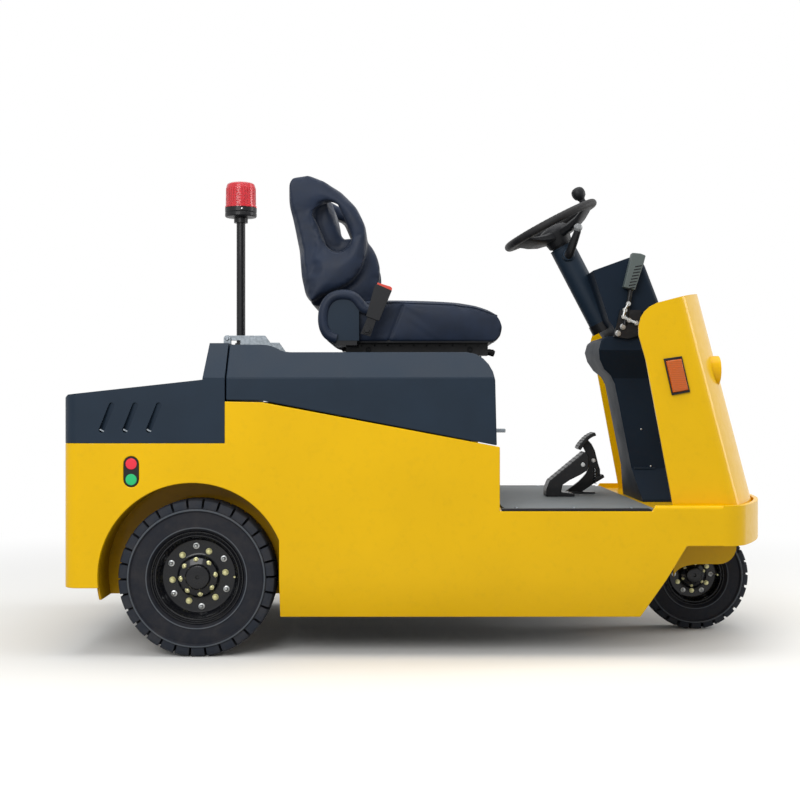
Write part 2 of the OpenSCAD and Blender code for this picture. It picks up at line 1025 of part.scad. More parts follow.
module seat_back() {
    z = back_z;
    wing_w = 58;
    wing_y = seat_w / 2 - 6 - wing_w / 2;
    color(black)
        difference() {
            union() {
                slab([
                    [-292, z],
                    [-150, z],
                    [-156, 1000],
                    [-172, 1050],
                    [-191, 1102],
                    [-212, 1155],
                    [-229, 1202],
                    [-248, 1248],
                    [-275, 1276],
                    [-318, 1284],
                    [-352, 1262],
                    [-337, 1203],
                    [-318, 1102],
                    [-312, 1029]
                ], 2 * (wing_y - wing_w / 2) + 8);
                for (s = [-1, 1])
                    translate([0, s * (wing_y - 50), 0])
                        slab([
                            [-250, z],
                            [-128, z + 2],
                            [-112, 972],
                            [-101, 1000],
                            [-97, 1028],
                            [-97, 1058],
                            [-105, 1088],
                            [-120, 1116],
                            [-146, 1134],
                            [-186, 1140],
                            [-260, 1120]
                        ], 62);
                for (s = [-1, 1])
                    translate([0, s * wing_y, 0])
                        slab([
                            [-292, z + 4],
                            [-256, 974],
                            [-207, 992],
                            [-172, 1015],
                            [-149, 1043],
                            [-135, 1079],
                            [-131, 1125],
                            [-136, 1169],
                            [-160, 1222],
                            [-200, 1262],
                            [-247, 1287],
                            [-292, 1301],
                            [-342, 1297],
                            [-366, 1283],
                            [-337, 1203],
                            [-316, 1102],
                            [-310, 1029]
                        ], wing_w);
            }
            for (s = [-1, 1])
                translate([0, s * (wing_y + 6), 0])
                    slab(oblong([-217, 1138], [-242, 1200], 86), wing_w + 24);
        }
}

// Padded hoop round a side plate, held by a strap on the seat rail
module seat_restraints() {
    low = seat_z + 1;
    top = seat_z + 133;
    d = restraint_t;
    rail_y = 170 + seat_gap;
    color(black)
        for (s = [-1, 1])
            translate([0, s * (restraint_y + d / 2), 0]) {
                slab(ribbon([
                    [-224, low + 6],
                    [-242, low + 18],
                    [-252, low + 40],
                    [-254, top - 72],
                    [-250, top - 37],
                    [-232, top - 12],
                    [-207, top],
                    [-181, top],
                    [-163, top - 12],
                    [-151, top - 29],
                    [-136, top - 40],
                    [-114, top - 43]
                ], d), d);
                translate([-240, -5, low])
                    cube([86, 10, top - 20 - low]);
            }
    color(black)
        for (s = [-1, 1])
            translate([-220, s < 0 ? -restraint_y - 19 : rail_y, seat_z - 12])
                cube([60, restraint_y + 19 - rail_y, 10]);
    color(black)
        for (s = [-1, 1])
            translate([-220, s * (restraint_y + 14) - 5, seat_z - 12])
                cube([60, 10, 20]);
}

module belt_buckle() {
    t = 20;
    y = -(restraint_y + restraint_t + t / 2 + seat_gap);
    color("#d8431f")
        translate([0, y, 0])
            slab([[-136, 905], [-99, 893], [-63, 980], [-62, 987], [-105, 1001], [-110, 994]], t);
    color(black)
        translate([0, y, 0])
            slab([[-150, 860], [-122, 852], [-108, 898], [-132, 908]], t - 6);
}

// Section of a tyre, with a raised ring on each side wall below the tread blocks
module tyre_profile(d, w, bead_d) {
    r = d / 2;
    b = bead_d / 2;
    h = w / 2;
    polygon([
        [b, -0.72 * h],
        [b + 8, -0.88 * h],
        [r - 0.135 * r, -0.96 * h],
        [r - 0.13 * r, -h],
        [r - 0.11 * r, -h],
        [r - 0.1 * r, -0.97 * h],
        [r - 0.035 * r, -0.93 * h],
        [r, -0.8 * h],
        [r, 0.8 * h],
        [r - 0.035 * r, 0.93 * h],
        [r - 0.1 * r, 0.97 * h],
        [r - 0.11 * r, h],
        [r - 0.13 * r, h],
        [r - 0.135 * r, 0.96 * h],
        [b + 8, 0.88 * h],
        [b, 0.72 * h]
    ]);
}

// Slots between the tread blocks, those of the two shoulders half a step apart
module tread_slots(d, w, n, depth) {
    for (s = [-1, 1])
        for (i = [0 : n - 1])
            rotate([0, 0, (i + (s > 0 ? 0.5 : 0)) * 360 / n])
                translate([d / 2 - depth, -slot_w / 2, s > 0 ? 0.08 * w : -0.6 * w])
                    cube([depth + 5, slot_w, 0.52 * w]);
}

module tyre(d, w, bead_d, n, depth) {
    rotate([90, 0, 0])
        difference() {
            rotate_extrude($fn = 96)
                tyre_profile(d, w, bead_d);
            tread_slots(d, w, n, depth);
        }
}

// Dished disc wheel, its hub cap to the right, bored from the left for its spindle
module disc_wheel(rim, w, bore) {
    r = rim / 2 - seat_gap;
    h = 0.36 * w;
    b = bore / 2;
    rotate([90, 0, 0])
        rotate_extrude($fn = 96)
            polygon([
                [b, -0.7 * h],
                [0.4 * r, -0.7 * h],
                [0.42 * r, -6],
                [0.78 * r, -6],
                [0.84 * r, -12],
                [0.86 * r, -h],
                [r, -h],
                [r, h],
                [0.92 * r, h],
                [0.885 * r, h - 5],
                [0.82 * r, 8],
                [0.76 * r, 2],
                [0.48 * r, 2],
                [0.42 * r, 9],
                [0.42 * r, 18],
                [0.28 * r, 23],
                [0.28 * r, 31],
                [0.26 * r, 33],
                [5, 33],
                [5, 29],
                [0, 29],
                [0, 23],
                [b, 23]
            ]);
}

module rear_wheel(side) {
    color(black)
        translate([-axle_back, side * track_y, axle_z])
            mirrored(-side)
                disc_wheel(rim_d, tyre_w, 38.6);
}

module rear_tyre(side) {
    color(rubber)
        translate([-axle_back, side * track_y, axle_z])
            tyre(tyre_d, tyre_w, rim_d, lugs, lug_h);
}

module steer_fork() {
    crown = front_d + 8;
    leg_y = front_w / 2 + 10;
    leg_t = 18;
    color(black) {
        translate([steer_x, 0, crown])
            cylinder(h = deck_z - 30 - crown, d = 70, $fn = 64);
        translate([steer_x, 0, crown])
            cylinder(h = 14, d = 150, $fn = 64);
        translate([steer_x - 36, leg_y, front_z])
            cube([72, leg_t, crown + 8 - front_z]);
        translate([steer_x, leg_y + leg_t / 2, front_z])
            across(leg_t, 84);
        translate([steer_x, (leg_y + leg_t - 20) / 2, front_z])
            across(leg_y + leg_t + 20, 24);
    }
}

module front_wheel() {
    color(black)
        translate([steer_x, 0, front_z])
            disc_wheel(front_rim, front_w, 24.6);
}

module front_tyre() {
    color(rubber)
        translate([steer_x, 0, front_z])
            tyre(front_d, front_w, front_rim, front_lugs, 0.73 * lug_h);
}

module steering_wheel() {
    rim_t = 26;
    color(black)
        column_frame() {
            rotate_extrude($fn = 96)
                translate([wheel_d / 2 - rim_t / 2, 0])
                    circle(d = rim_t, $fn = 32);
            for (a = [90, 210, 330])
                rotate([0, 0, a])
                    translate([20, -12, -22])
                        cube([wheel_d / 2 - 34, 24, 12]);
            translate([0, 0, -39])
                cylinder(h = 34, d = 64, $fn = 64);
            translate([0, 0, -105])
                cylinder(h = 80, d = 30, $fn = 48);
        }
}

module spinner_knob() {
    r = wheel_d / 2 - 13;
    color(black)
        column_frame()
            rotate([0, 0, 23])
                translate([r, 0, 13.3]) {
                    cylinder(h = 26, d = 20, $fn = 32);
                    translate([0, 0, 36])
                        sphere(d = 36, $fn = 48);
                }
}

side_panel(-1);  // side_panel_right
side_panel(1);  // side_panel_left
rear_plate();
wheel_well(-1);  // wheel_well_right
wheel_well(1);  // wheel_well_left
deck();
nose();
belly_pan();
steer_housing();
floor_mat();
rear_cover();
shield();
headlamps();
turn_signals();
tail_lamps();
column_cover();
column_tube();
dash_pod();
brake_lever();
direction_lever();
accelerator();
brake_pedal();
inching_switch();
beacon_pole();
beacon();
tow_coupler();
tow_pin();
rear_axle();
drive_motor();
battery();
hood();
hinge_brackets();
hinge_arms();
hood_latch();
seat_rails();
seat_cushion();
seat_back();
seat_restraints();
belt_buckle();
rear_wheel(-1);  // rear_wheel_right
rear_tyre(-1);  // rear_tyre_right
rear_wheel(1);  // rear_wheel_left
rear_tyre(1);  // rear_tyre_left
steer_fork();
front_wheel();
front_tyre();
steering_wheel();
spinner_knob();
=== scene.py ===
import json
import math

import bmesh
import bpy
import numpy as np
from mathutils import Matrix, Vector
from mathutils.bvhtree import BVHTree

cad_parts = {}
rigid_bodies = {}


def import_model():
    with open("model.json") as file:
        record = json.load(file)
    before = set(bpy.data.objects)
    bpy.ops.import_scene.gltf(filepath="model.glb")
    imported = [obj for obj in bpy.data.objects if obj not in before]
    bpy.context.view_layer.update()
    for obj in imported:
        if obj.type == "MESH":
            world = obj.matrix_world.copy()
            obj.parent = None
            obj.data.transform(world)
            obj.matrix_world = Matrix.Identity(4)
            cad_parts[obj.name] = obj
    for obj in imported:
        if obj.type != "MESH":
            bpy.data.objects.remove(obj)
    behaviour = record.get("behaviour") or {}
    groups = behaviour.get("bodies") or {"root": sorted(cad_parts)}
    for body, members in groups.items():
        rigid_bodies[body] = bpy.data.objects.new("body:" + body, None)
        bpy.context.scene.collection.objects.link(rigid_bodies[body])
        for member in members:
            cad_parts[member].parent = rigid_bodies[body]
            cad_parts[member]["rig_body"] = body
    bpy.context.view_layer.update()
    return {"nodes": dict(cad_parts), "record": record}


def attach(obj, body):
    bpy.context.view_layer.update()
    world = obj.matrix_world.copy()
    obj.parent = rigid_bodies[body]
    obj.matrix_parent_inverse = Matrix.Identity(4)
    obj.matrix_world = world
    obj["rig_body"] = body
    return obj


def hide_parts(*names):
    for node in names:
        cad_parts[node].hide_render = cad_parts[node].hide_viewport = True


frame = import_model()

scene = bpy.context.scene
mm = 0.001


# camera, set up like the one that took the photo
cameraSetup = {
    "picture": 800,              # pixels across
    "pixelsPerFocal": 1341,      # focal length in those pixels
    "sensor": 36,                # mm across
    "distance": 4.0,             # from the middle plane of the tug, in metres
    "sideways": -0.040,          # along the tug
    "height": 0.668,
    "horizonBelowMiddle": 3,     # pixels
}


def makeCamera(c):
    cam = bpy.data.objects.new("camera", bpy.data.cameras.new("camera"))
    cam.data.lens = c["sensor"] * c["pixelsPerFocal"] / c["picture"]
    cam.data.sensor_width = c["sensor"]
    cam.data.shift_y = c["horizonBelowMiddle"] / c["picture"]
    cam.location = (c["sideways"], -c["distance"], c["height"])
    cam.rotation_euler = (math.radians(90), 0, 0)
    scene.collection.objects.link(cam)
    scene.camera = cam


# colours are sRGB hex values
def linear(hexColour, brighter=1.0):
    values = [min(255, round(int(hexColour[i:i + 2], 16) * brighter)) / 255 for i in (1, 3, 5)]
    return [v / 12.92 if v <= 0.04045 else ((v + 0.055) / 1.055) ** 2.4 for v in values] + [1.0]


def addNode(tree, kind, settings=None, to=None, **inputs):
    # inputs go by name or, as i6, by number; "to" is the socket that takes the node's first output
    node = tree.nodes.new("ShaderNode" + kind)
    for key, value in (settings or {}).items():
        setattr(node, key, value)
    for key, value in inputs.items():
        socket = node.inputs[int(key[1:]) if key[0] == "i" and key[1:].isdigit() else key.replace("_", " ")]
        if isinstance(value, bpy.types.NodeSocket):
            tree.links.new(value, socket)
        else:
            socket.default_value = value
    if to is not None:
        tree.links.new(node.outputs[0], to)
    return node


def newMaterial(**shader):
    material = bpy.data.materials.new("finish")
    material.use_nodes = True
    tree = material.node_tree
    principled = tree.nodes["Principled BSDF"]
    for key, value in shader.items():
        principled.inputs[key.replace("_", " ")].default_value = value
    return material, tree, principled


def pattern(tree, kind, sizeMm, settings=None, **inputs):
    # a texture fixed to the piece, scaled from the real size of its features
    place = addNode(tree, "TexCoord").outputs["Object"]
    return addNode(tree, kind, settings, Vector=place, Scale=1 / (sizeMm * mm), **inputs)


def mottle(tree, shader, cloud, span, share, first, second, rough=None):
    # the second colour shows through where the cloud is dense, and the gloss drifts with the same cloud
    dense = addNode(tree, "MapRange", Value=cloud, From_Min=span[0], From_Max=span[1], To_Max=share)
    mixed = addNode(tree, "Mix", {"data_type": "RGBA"}, i0=dense.outputs[0], i6=first, i7=second).outputs[2]
    tree.links.new(mixed, shader.inputs["Base Color"])
    if rough:
        addNode(tree, "MapRange", None, shader.inputs["Roughness"], Value=cloud,
                From_Min=rough[0], From_Max=rough[1], To_Min=rough[2], To_Max=rough[3])
    return mixed


def emboss(tree, shader, relief, depthMm, strength):
    addNode(tree, "Bump", None, shader.inputs["Normal"], Height=relief, Distance=depthMm * mm,
            Strength=strength)


def enamel(hexColour, dirt, roughness=0.32, coat=0.12, specular=0.1, soil="#6b5a22"):
    # gloss enamel sprayed on sheet steel: an even colour, a clear coat and a faint orange peel
    material, tree, shader = newMaterial(Roughness=roughness, Specular_IOR_Level=specular,
                                         Coat_Weight=coat, Coat_Roughness=0.06)
    cloudy = pattern(tree, "TexNoise", 260, Detail=3, Roughness=0.55).outputs["Fac"]
    specks = pattern(tree, "TexNoise", 22, Detail=6, Roughness=0.7).outputs["Fac"]
    peel = pattern(tree, "TexNoise", 2.6, Detail=2, Roughness=0.55).outputs["Fac"]
    base = mottle(tree, shader, cloudy, (0.3, 0.7), 0.22, linear(hexColour), linear(hexColour, 0.86))
    mottle(tree, shader, specks, (0.52, 0.78), dirt, base, linear(soil), (0.3, 0.8, roughness - 0.05, roughness + 0.12))
    emboss(tree, shader, peel, 0.04, 0.5)
    return material


def mouldedPlastic(hexColour, grainMm=1.1, depthMm=0.12, roughness=0.5, specular=0.5):
    # moulded ABS with a leather like grain, drawn about twice as coarse as the real one so that it shows
    material, tree, shader = newMaterial(Roughness=roughness, Specular_IOR_Level=specular)
    grain = pattern(tree, "TexVoronoi", grainMm, {"feature": "SMOOTH_F1"}).outputs["Distance"]
    cloudy = pattern(tree, "TexNoise", 120, Detail=4, Roughness=0.55).outputs["Fac"]
    mottle(tree, shader, cloudy, (0.35, 0.7), 0.5, linear(hexColour), linear(hexColour, 1.14),
           (0.3, 0.7, roughness - 0.06, roughness + 0.08))
    emboss(tree, shader, grain, depthMm, 0.6)
    return material


def metalFinish(hexColour, roughness, grainMm=0.8, metallic=1.0, spots="#8f8c84"):
    # bare or plated steel: a bright metal with fine cloudy spangle
    material, tree, shader = newMaterial(Metallic=metallic, Roughness=roughness)
    spangle = pattern(tree, "TexNoise", 9, Detail=5, Roughness=0.7).outputs["Fac"]
    grain = pattern(tree, "TexNoise", grainMm, Detail=3, Roughness=0.55).outputs["Fac"]
    mottle(tree, shader, spangle, (0.4, 0.7), 0.6, linear(hexColour), linear(spots),
           (0.3, 0.7, roughness - 0.08, roughness + 0.15))
    emboss(tree, shader, grain, 0.03, 0.5)
    return material


def coatedCloth(hexColour):
    # leatherette, PVC coated cloth with a soft pebble grain of about 1.7 mm and a dull sheen
    material, tree, shader = newMaterial(Roughness=0.42, Specular_IOR_Level=0.2, Sheen_Weight=0.05,
                                         Sheen_Roughness=0.5)
    place = addNode(tree, "TexCoord").outputs["Object"]
    warp = addNode(tree, "TexNoise", Vector=place, Scale=1 / (6 * mm), Detail=2).outputs["Color"]
    moved = addNode(tree, "Mix", {"data_type": "RGBA"}, i0=0.012, i6=place, i7=warp).outputs[2]
    pebble = addNode(tree, "TexVoronoi", {"feature": "DISTANCE_TO_EDGE"}, Vector=moved,
                     Scale=1 / (1.7 * mm)).outputs["Distance"]
    cloudy = pattern(tree, "TexNoise", 60, Detail=4, Roughness=0.55).outputs["Fac"]
    mottle(tree, shader, cloudy, (0.35, 0.7), 0.6, linear(hexColour), linear(hexColour, 1.35), (0.3, 0.7, 0.4, 0.56))
    emboss(tree, shader, pebble, 0.25, 0.55)
    return material


def vulcanisedRubber(hexColour, dust, roughness=0.7):
    # nearly black and matt, with grey dust where it has run
    material, tree, shader = newMaterial(Roughness=roughness, Specular_IOR_Level=0.2)
    cloudy = pattern(tree, "TexNoise", 45, Detail=6, Roughness=0.65).outputs["Fac"]
    fine = pattern(tree, "TexNoise", 3.2, Detail=3, Roughness=0.55).outputs["Fac"]
    mottle(tree, shader, cloudy, (0.4, 0.75), dust, linear(hexColour), linear("#77706a"),
           (0.3, 0.7, roughness - 0.12, roughness + 0.1))
    emboss(tree, shader, fine, 0.12, 0.5)
    return material


# at scale 1 a wave texture repeats every pi / 10
wavePitch = 10 / math.pi


def ribbedMat(hexColour, pitchMm=9):
    # floor rubber with fine round ribs that run along the tug
    material, tree, shader = newMaterial(Roughness=0.62, Specular_IOR_Level=0.4)
    ribs = pattern(tree, "TexWave", pitchMm * wavePitch, {"bands_direction": "Y"}).outputs["Fac"]
    cloudy = pattern(tree, "TexNoise", 70, Detail=5, Roughness=0.55).outputs["Fac"]
    mottle(tree, shader, cloudy, (0.4, 0.75), 0.35, linear(hexColour), linear("#7d7d7a"))
    emboss(tree, shader, ribs, 1.2, 0.8)
    return material


def lensPlastic(hexColour, pitchMm=5):
    # injection moulded clear acrylic, dyed through, with fine prisms on its inner face
    material, tree, shader = newMaterial(Base_Color=linear(hexColour), Roughness=0.12,
                                         Transmission_Weight=0.45, IOR=1.49)
    prisms = pattern(tree, "TexWave", pitchMm * wavePitch, {"bands_direction": "Z"}).outputs["Fac"]
    mottle(tree, shader, prisms, (0, 1), 0.35, linear(hexColour), linear(hexColour, 0.72))
    emboss(tree, shader, prisms, 0.5, 0.5)
    return material


def clearGlass(hexColour, pitchMm=6):
    # moulded lamp glass, clear, with vertical flutes
    material, tree, shader = newMaterial(Base_Color=linear(hexColour), Roughness=0.05,
                                         Transmission_Weight=0.9, IOR=1.5)
    flutes = pattern(tree, "TexWave", pitchMm * wavePitch, {"bands_direction": "Y"}).outputs["Fac"]
    emboss(tree, shader, flutes, 0.6, 0.6)
    return material


print("materials")
mats = {
    "yellowEnamel": enamel("#efbd00", 0.08, coat=0.22, specular=0.08),
    # the yellow paint darkened as painted shade for the wheel well liners, with more soil specks
    "linerEnamel": enamel("#b08600", 0.45, 0.45),
    "coverAbs": mouldedPlastic("#1f2b38", roughness=0.42, specular=0.15),
    # the cover plastic darkened and dulled, painted shade for the column cover and dash pod
    "columnAbs": mouldedPlastic("#19232f", roughness=0.5, specular=0.07),
    "blackAbs": mouldedPlastic("#191a1d", 0.9, 0.08, 0.48, 0.22),
    "satinBlack": enamel("#17181b", 0.2, 0.42, specular=0.2, soil="#4c4a46"),
    "castIron": metalFinish("#3a3b3d", 0.55, 1.2, metallic=0.4, spots="#232325"),
    "zincPlate": metalFinish("#c6c9ca", 0.3),
    "hotDipZinc": metalFinish("#8a9197", 0.46, spots="#6c7276"),
    "brassNut": metalFinish("#cbc79a", 0.34, spots="#8f8c62"),
    "batteryCase": mouldedPlastic("#3a3e44", 1.4, 0.15, 0.55),
    "leatherette": coatedCloth("#1a2333"),
    "tyreRubber": vulcanisedRubber("#191c24", 0.12),
    "treadRubber": vulcanisedRubber("#232831", 0.16),
    # lighter rubber that paints the highlight along the tyres' raised ring and bead ridge
    "scuffedRubber": vulcanisedRubber("#4b5158", 0.25),
    "gripRubber": vulcanisedRubber("#1b1c1e", 0.1, 0.55),
    # grey floor rubber whose pale tone partly paints the sky's reflection on the mat's top
    "floorRubber": ribbedMat("#6f7578"),
    "redAcrylic": lensPlastic("#ee3340"),
    "amberAcrylic": lensPlastic("#f57600"),
    "lampGlass": clearGlass("#eef2f4"),
    "redButton": mouldedPlastic("#e0233a", 0.8, 0.02, 0.3),
    "greenButton": mouldedPlastic("#12b36a", 0.8, 0.02, 0.3),
    "buckleRed": mouldedPlastic("#cf3a26", 0.8, 0.03, 0.35),
    "greyKnob": mouldedPlastic("#8d9092", 0.8, 0.03, 0.35),
    "rimEnamel": enamel("#121317", 0.05, 0.24, 0.35, 0.15, "#3c3b38"),
    "gripGrey": mouldedPlastic("#4a5352", 1.0, 0.08, 0.5),
    "reflector": metalFinish("#e8eaec", 0.12, spots="#d0d4d8"),
}
for name, material in mats.items():
    material.name = name

slotMaterial = {
    "yellow_paint": "yellowEnamel",
    "liner_paint": "linerEnamel",
    "cover_plastic": "coverAbs",
    "black_paint": "satinBlack",
    "mat_rubber": "floorRubber",
    "black_plastic": "blackAbs",
    "lamp_amber": "amberAcrylic",
    "lamp_red": "redAcrylic",
    "lamp_clear": "blackAbs",
    "zinc": "hotDipZinc",
    "cast_parts": "castIron",
    "battery_case": "batteryCase",
    "leatherette": "leatherette",
    "tyre_rubber": "tyreRubber",
    "wheel_plastic": "blackAbs",
}
nodeSlot = {p["node"]: p["material_slot"] for p in frame["record"]["subparts"]}

# nodes whose look differs from the rest of their slot; the column cover and dash pod take a darker, duller copy of the
# cover plastic as painted shade
nodeMaterial = {"steer_housing": "yellowEnamel", "column_cover": "columnAbs", "dash_pod": "columnAbs"}


def setMaterial(piece, name):
    piece.data.materials.clear()
    piece.data.materials.append(mats[name])


def newPiece(name, mesh, body, replaces=()):
    piece = bpy.data.objects.new(name, mesh)
    scene.collection.objects.link(piece)
    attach(piece, body)
    if replaces:
        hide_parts(*replaces)
    return piece


def shadeByAngle(mesh, degrees):
    mesh.polygons.foreach_set("use_smooth", [True] * len(mesh.polygons))
    bm = bmesh.new()
    bm.from_mesh(mesh)
    limit = math.radians(degrees)
    for edge in bm.edges:
        edge.smooth = len(edge.link_faces) == 2 and edge.calc_face_angle(0) < limit
    bm.to_mesh(mesh)
    bm.free()


def applyModifiers(piece):
    graph = bpy.context.evaluated_depsgraph_get()
    made = bpy.data.meshes.new_from_object(piece.evaluated_get(graph))
    piece.modifiers.clear()
    piece.data = made


# rounded edges, as real sheet, casting and moulding have
edgeSetup = {
    "sharpDegrees": 32,      # an edge that turns more than this is rounded
    "segments": 3,
    "cornerTurn": 0.6,       # radians, for the big corners
    "cornerSegments": 6,
    "flatDegrees": 0.4,      # faces that turn less than this are joined to one
    "mergeMm": 0.02,
    "weldGapMm": 0.3,        # keeps the flush joint of nose and side panels from flickering
}

# width of the rounding on each CAD node, mm
edgeRounding = {
    "side_panel_right": 2.5, "side_panel_left": 2.5, "rear_plate": 2, "nose": 2.5, "shield": 2.5,
    "rear_cover": 9, "hood": 9, "column_cover": 14, "dash_pod": 12, "steer_housing": 2, "belly_pan": 2,
    "hinge_arms": 1, "hinge_brackets": 1, "hood_latch": 2, "seat_rails": 2, "tow_coupler": 2.5,
    "rear_axle": 3, "battery": 5, "steer_fork": 2, "floor_mat": 1.5,
    "drive_motor": 3, "inching_switch": 2, "column_tube": 3,
}

# corners that are rounder than the rest: width in mm, and where they lie in metres
bigCorners = {
    "dash_pod": (38, lambda p: abs(p.y) > 0.149 and p.x > 0.625 and p.z > 0.87),
    "column_cover": (40, lambda p: abs(p.y) > 0.094 and p.x < 0.645),
    "side_panel_right": (11, lambda p: p.y < -0.4995 and p.x > 0.62 and p.z > 0.399),
    "side_panel_left": (11, lambda p: p.y > 0.4995 and p.x > 0.62 and p.z > 0.399),
    "nose": (11, lambda p: p.z > 0.399 and (math.hypot(p.x - 0.061, p.y) > 0.93
                                            or math.hypot(p.x - 0.8046, abs(p.y) - 0.42) > 0.076)),
}

# the welded joint between the side panels and the nose, ground flush
weldedEnds = {
    "side_panel_right": lambda p: p.x > 0.8042,
    "side_panel_left": lambda p: p.x > 0.8042,
    "nose": lambda p: p.x < 0.8053,
}

# small shifts along x that bring an outline closer to the photo, metres
trimmed = {
    "column_cover": lambda p: 0.16 * (0.60 - p.x) if p.z > 0.72 and p.x < 0.60 else 0,
    "dash_pod": lambda p: -0.009 if p.x > 0.67 and p.z > 0.87 else 0,
}


def roundEdges(piece, widthMm, limitMethod):
    bevel = piece.modifiers.new("edges", "BEVEL")
    bevel.width = widthMm * mm
    bevel.segments = edgeSetup["segments"]
    bevel.limit_method = limitMethod
    bevel.angle_limit = math.radians(edgeSetup["sharpDegrees"])
    bevel.use_clamp_overlap = True
    applyModifiers(piece)


def weightNormals(piece):
    # large flat faces keep their own normal, so that only the rounded edges shade softly
    piece.modifiers.new("normals", "WEIGHTED_NORMAL").keep_sharp = True
    applyModifiers(piece)


def roundedCopy(name, widthMm):
    source = frame["nodes"][name]
    shift = trimmed.get(name, lambda p: 0)
    welded = weldedEnds.get(name, lambda p: False)
    mesh = source.data.copy()
    bm = bmesh.new()
    bm.from_mesh(mesh)
    for vert in bm.verts:
        vert.co.x += shift(vert.co)
    bmesh.ops.remove_doubles(bm, verts=bm.verts, dist=edgeSetup["mergeMm"] * mm)
    bmesh.ops.dissolve_limit(bm, angle_limit=math.radians(edgeSetup["flatDegrees"]), verts=bm.verts,
                             edges=bm.edges, delimit=set())
    if name in bigCorners:
        width, where = bigCorners[name]
        edges = [e for e in bm.edges
                 if all(where(v.co) for v in e.verts) and e.calc_face_angle(0) > edgeSetup["cornerTurn"]]
        bmesh.ops.bevel(bm, geom=edges, offset=width * mm, segments=edgeSetup["cornerSegments"],
                        affect="EDGES", profile=0.5, clamp_overlap=True)
    weights = bm.edges.layers.float.new("bevel_weight_edge")
    sharp = math.radians(edgeSetup["sharpDegrees"])
    for edge in bm.edges:
        if edge.calc_face_angle(0) > sharp and not all(welded(v.co) for v in edge.verts):
            edge[weights] = 1
    if name == "nose":
        for vert in bm.verts:
            if welded(vert.co):
                vert.co.x -= edgeSetup["weldGapMm"] * mm
    bm.to_mesh(mesh)
    bm.free()
    piece = newPiece(name + "_shape", mesh, source["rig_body"], [name])
    setMaterial(piece, nodeMaterial.get(name, slotMaterial[nodeSlot[name]]))
    roundEdges(piece, widthMm, "WEIGHT")
    shadeByAngle(piece.data, 50)
    weightNormals(piece)


print("nodes")
for name, node in frame["nodes"].items():
    setMaterial(node, slotMaterial[nodeSlot[name]])
    if name in edgeRounding:
        roundedCopy(name, edgeRounding[name])
    else:
        shadeByAngle(node.data, 40)


# small builders: each fills a mesh in millimetres, and newShape scales it once
def newShape(name, body, materials, build, replaces=(), sharpDegrees=40, bevelMm=0):
    bm = bmesh.new()
    build(bm)
    bmesh.ops.recalc_face_normals(bm, faces=bm.faces)
    bmesh.ops.scale(bm, vec=(mm, mm, mm), verts=bm.verts)
    mesh = bpy.data.meshes.new(name)
    bm.to_mesh(mesh)
    bm.free()
    piece = newPiece(name, mesh, body, replaces)
    for material in materials:
        mesh.materials.append(mats[material])
    if bevelMm:
        roundEdges(piece, bevelMm, "ANGLE")
    shadeByAngle(piece.data, sharpDegrees)
    if bevelMm:
        weightNormals(piece)
    return piece


def facing(place, direction):
    # a frame whose local Z points along the direction
    return Matrix.Translation(place) @ Vector(direction).to_track_quat("Z", "Y").to_matrix().to_4x4()


def joinRings(bm, rings, steps, material=0, closed=False):
    for low, high in zip(rings, rings[1:] + ([rings[0]] if closed else [])):
        for i in range(steps):
            j = (i + 1) % steps
            corners = [low[i % len(low)], low[j % len(low)], high[j % len(high)], high[i % len(high)]]
            unique = list(dict.fromkeys(corners))
            if len(unique) > 2:
                bm.faces.new(unique).material_index = material


def turned(bm, profile, place=Matrix(), steps=48, material=0, closed=False):
    # turns (radius, along) pairs round the local Z axis
    angles = [2 * math.pi * i / steps for i in range(steps)]
    rings = []
    for radius, along in profile:
        if radius < 0.001:
            points = [(0, 0, along)]
        else:
            points = [(radius * math.cos(a), radius * math.sin(a), along) for a in angles]
        rings.append([bm.verts.new(place @ Vector(p)) for p in points])
    joinRings(bm, rings, steps, material, closed)


def prism(bm, outline, low, high, place=Matrix(), material=0):
    # an outline in local X and Z, given its depth along local Y
    near = [bm.verts.new(place @ Vector((x, low, z))) for x, z in outline]
    far = [bm.verts.new(place @ Vector((x, high, z))) for x, z in outline]
    faces = [bm.faces.new(near), bm.faces.new(far)]
    for i in range(len(outline)):
        j = (i + 1) % len(outline)
        faces.append(bm.faces.new([near[i], near[j], far[j], far[i]]))
    for face in faces:
        face.material_index = material


def box(bm, centre, size, place=Matrix(), material=0):
    x, y, z = (s / 2 for s in size)
    prism(bm, [(-x, -z), (x, -z), (x, z), (-x, z)], -y, y, place @ Matrix.Translation(centre), material)


def tube(bm, points, radius, steps=12, material=0):
    # a round bar along the points, its frame carried on without twist
    points = [Vector(p) for p in points]
    radii = radius if isinstance(radius, list) else [radius] * len(points)
    angles = [2 * math.pi * k / steps for k in range(steps)]
    rings = []
    side = None
    for i, point in enumerate(points):
        ahead = (points[min(i + 1, len(points) - 1)] - points[max(i - 1, 0)]).normalized()
        side = ahead.orthogonal() if side is None else side - ahead * side.dot(ahead)
        side.normalize()
        other = ahead.cross(side)
        rings.append([bm.verts.new(point + radii[i] * (math.cos(a) * side + math.sin(a) * other)) for a in angles])
    joinRings(bm, rings, steps, material)
    for ring in (rings[0], rings[-1]):
        bm.faces.new(ring).material_index = material


def hexHead(bm, place, across, height, material, washer):
    turned(bm, [(0, -0.5), (washer, -0.5), (washer, 1.6), (washer - 0.6, 2.2), (0, 2.2)], place, 20, material)
    r = across / math.sqrt(3)
    turned(bm, [(0, 1), (r, 1), (r, height - 1), (r * 0.88, height), (0, height)], place, 6, material)


def domeHead(bm, place, radius, height, material=0):
    profile = [(0, -1), (radius, -1), (radius, height * 0.3)]
    profile += [(radius * math.cos(a), height * 0.3 + height * 0.7 * math.sin(a)) for a in (0.35, 0.75, 1.15)]
    turned(bm, profile + [(0, height)], place, 16, material)


def boltRing(place, ring, face):
    # a ring is given as count, circle radius, size, height and first angle
    count, radius, size, height, start = ring
    for k in range(count):
        angle = math.radians(start + 360 * k / count)
        spot = place @ Matrix.Translation((radius * math.cos(angle), radius * math.sin(angle), face))
        yield spot, size, height


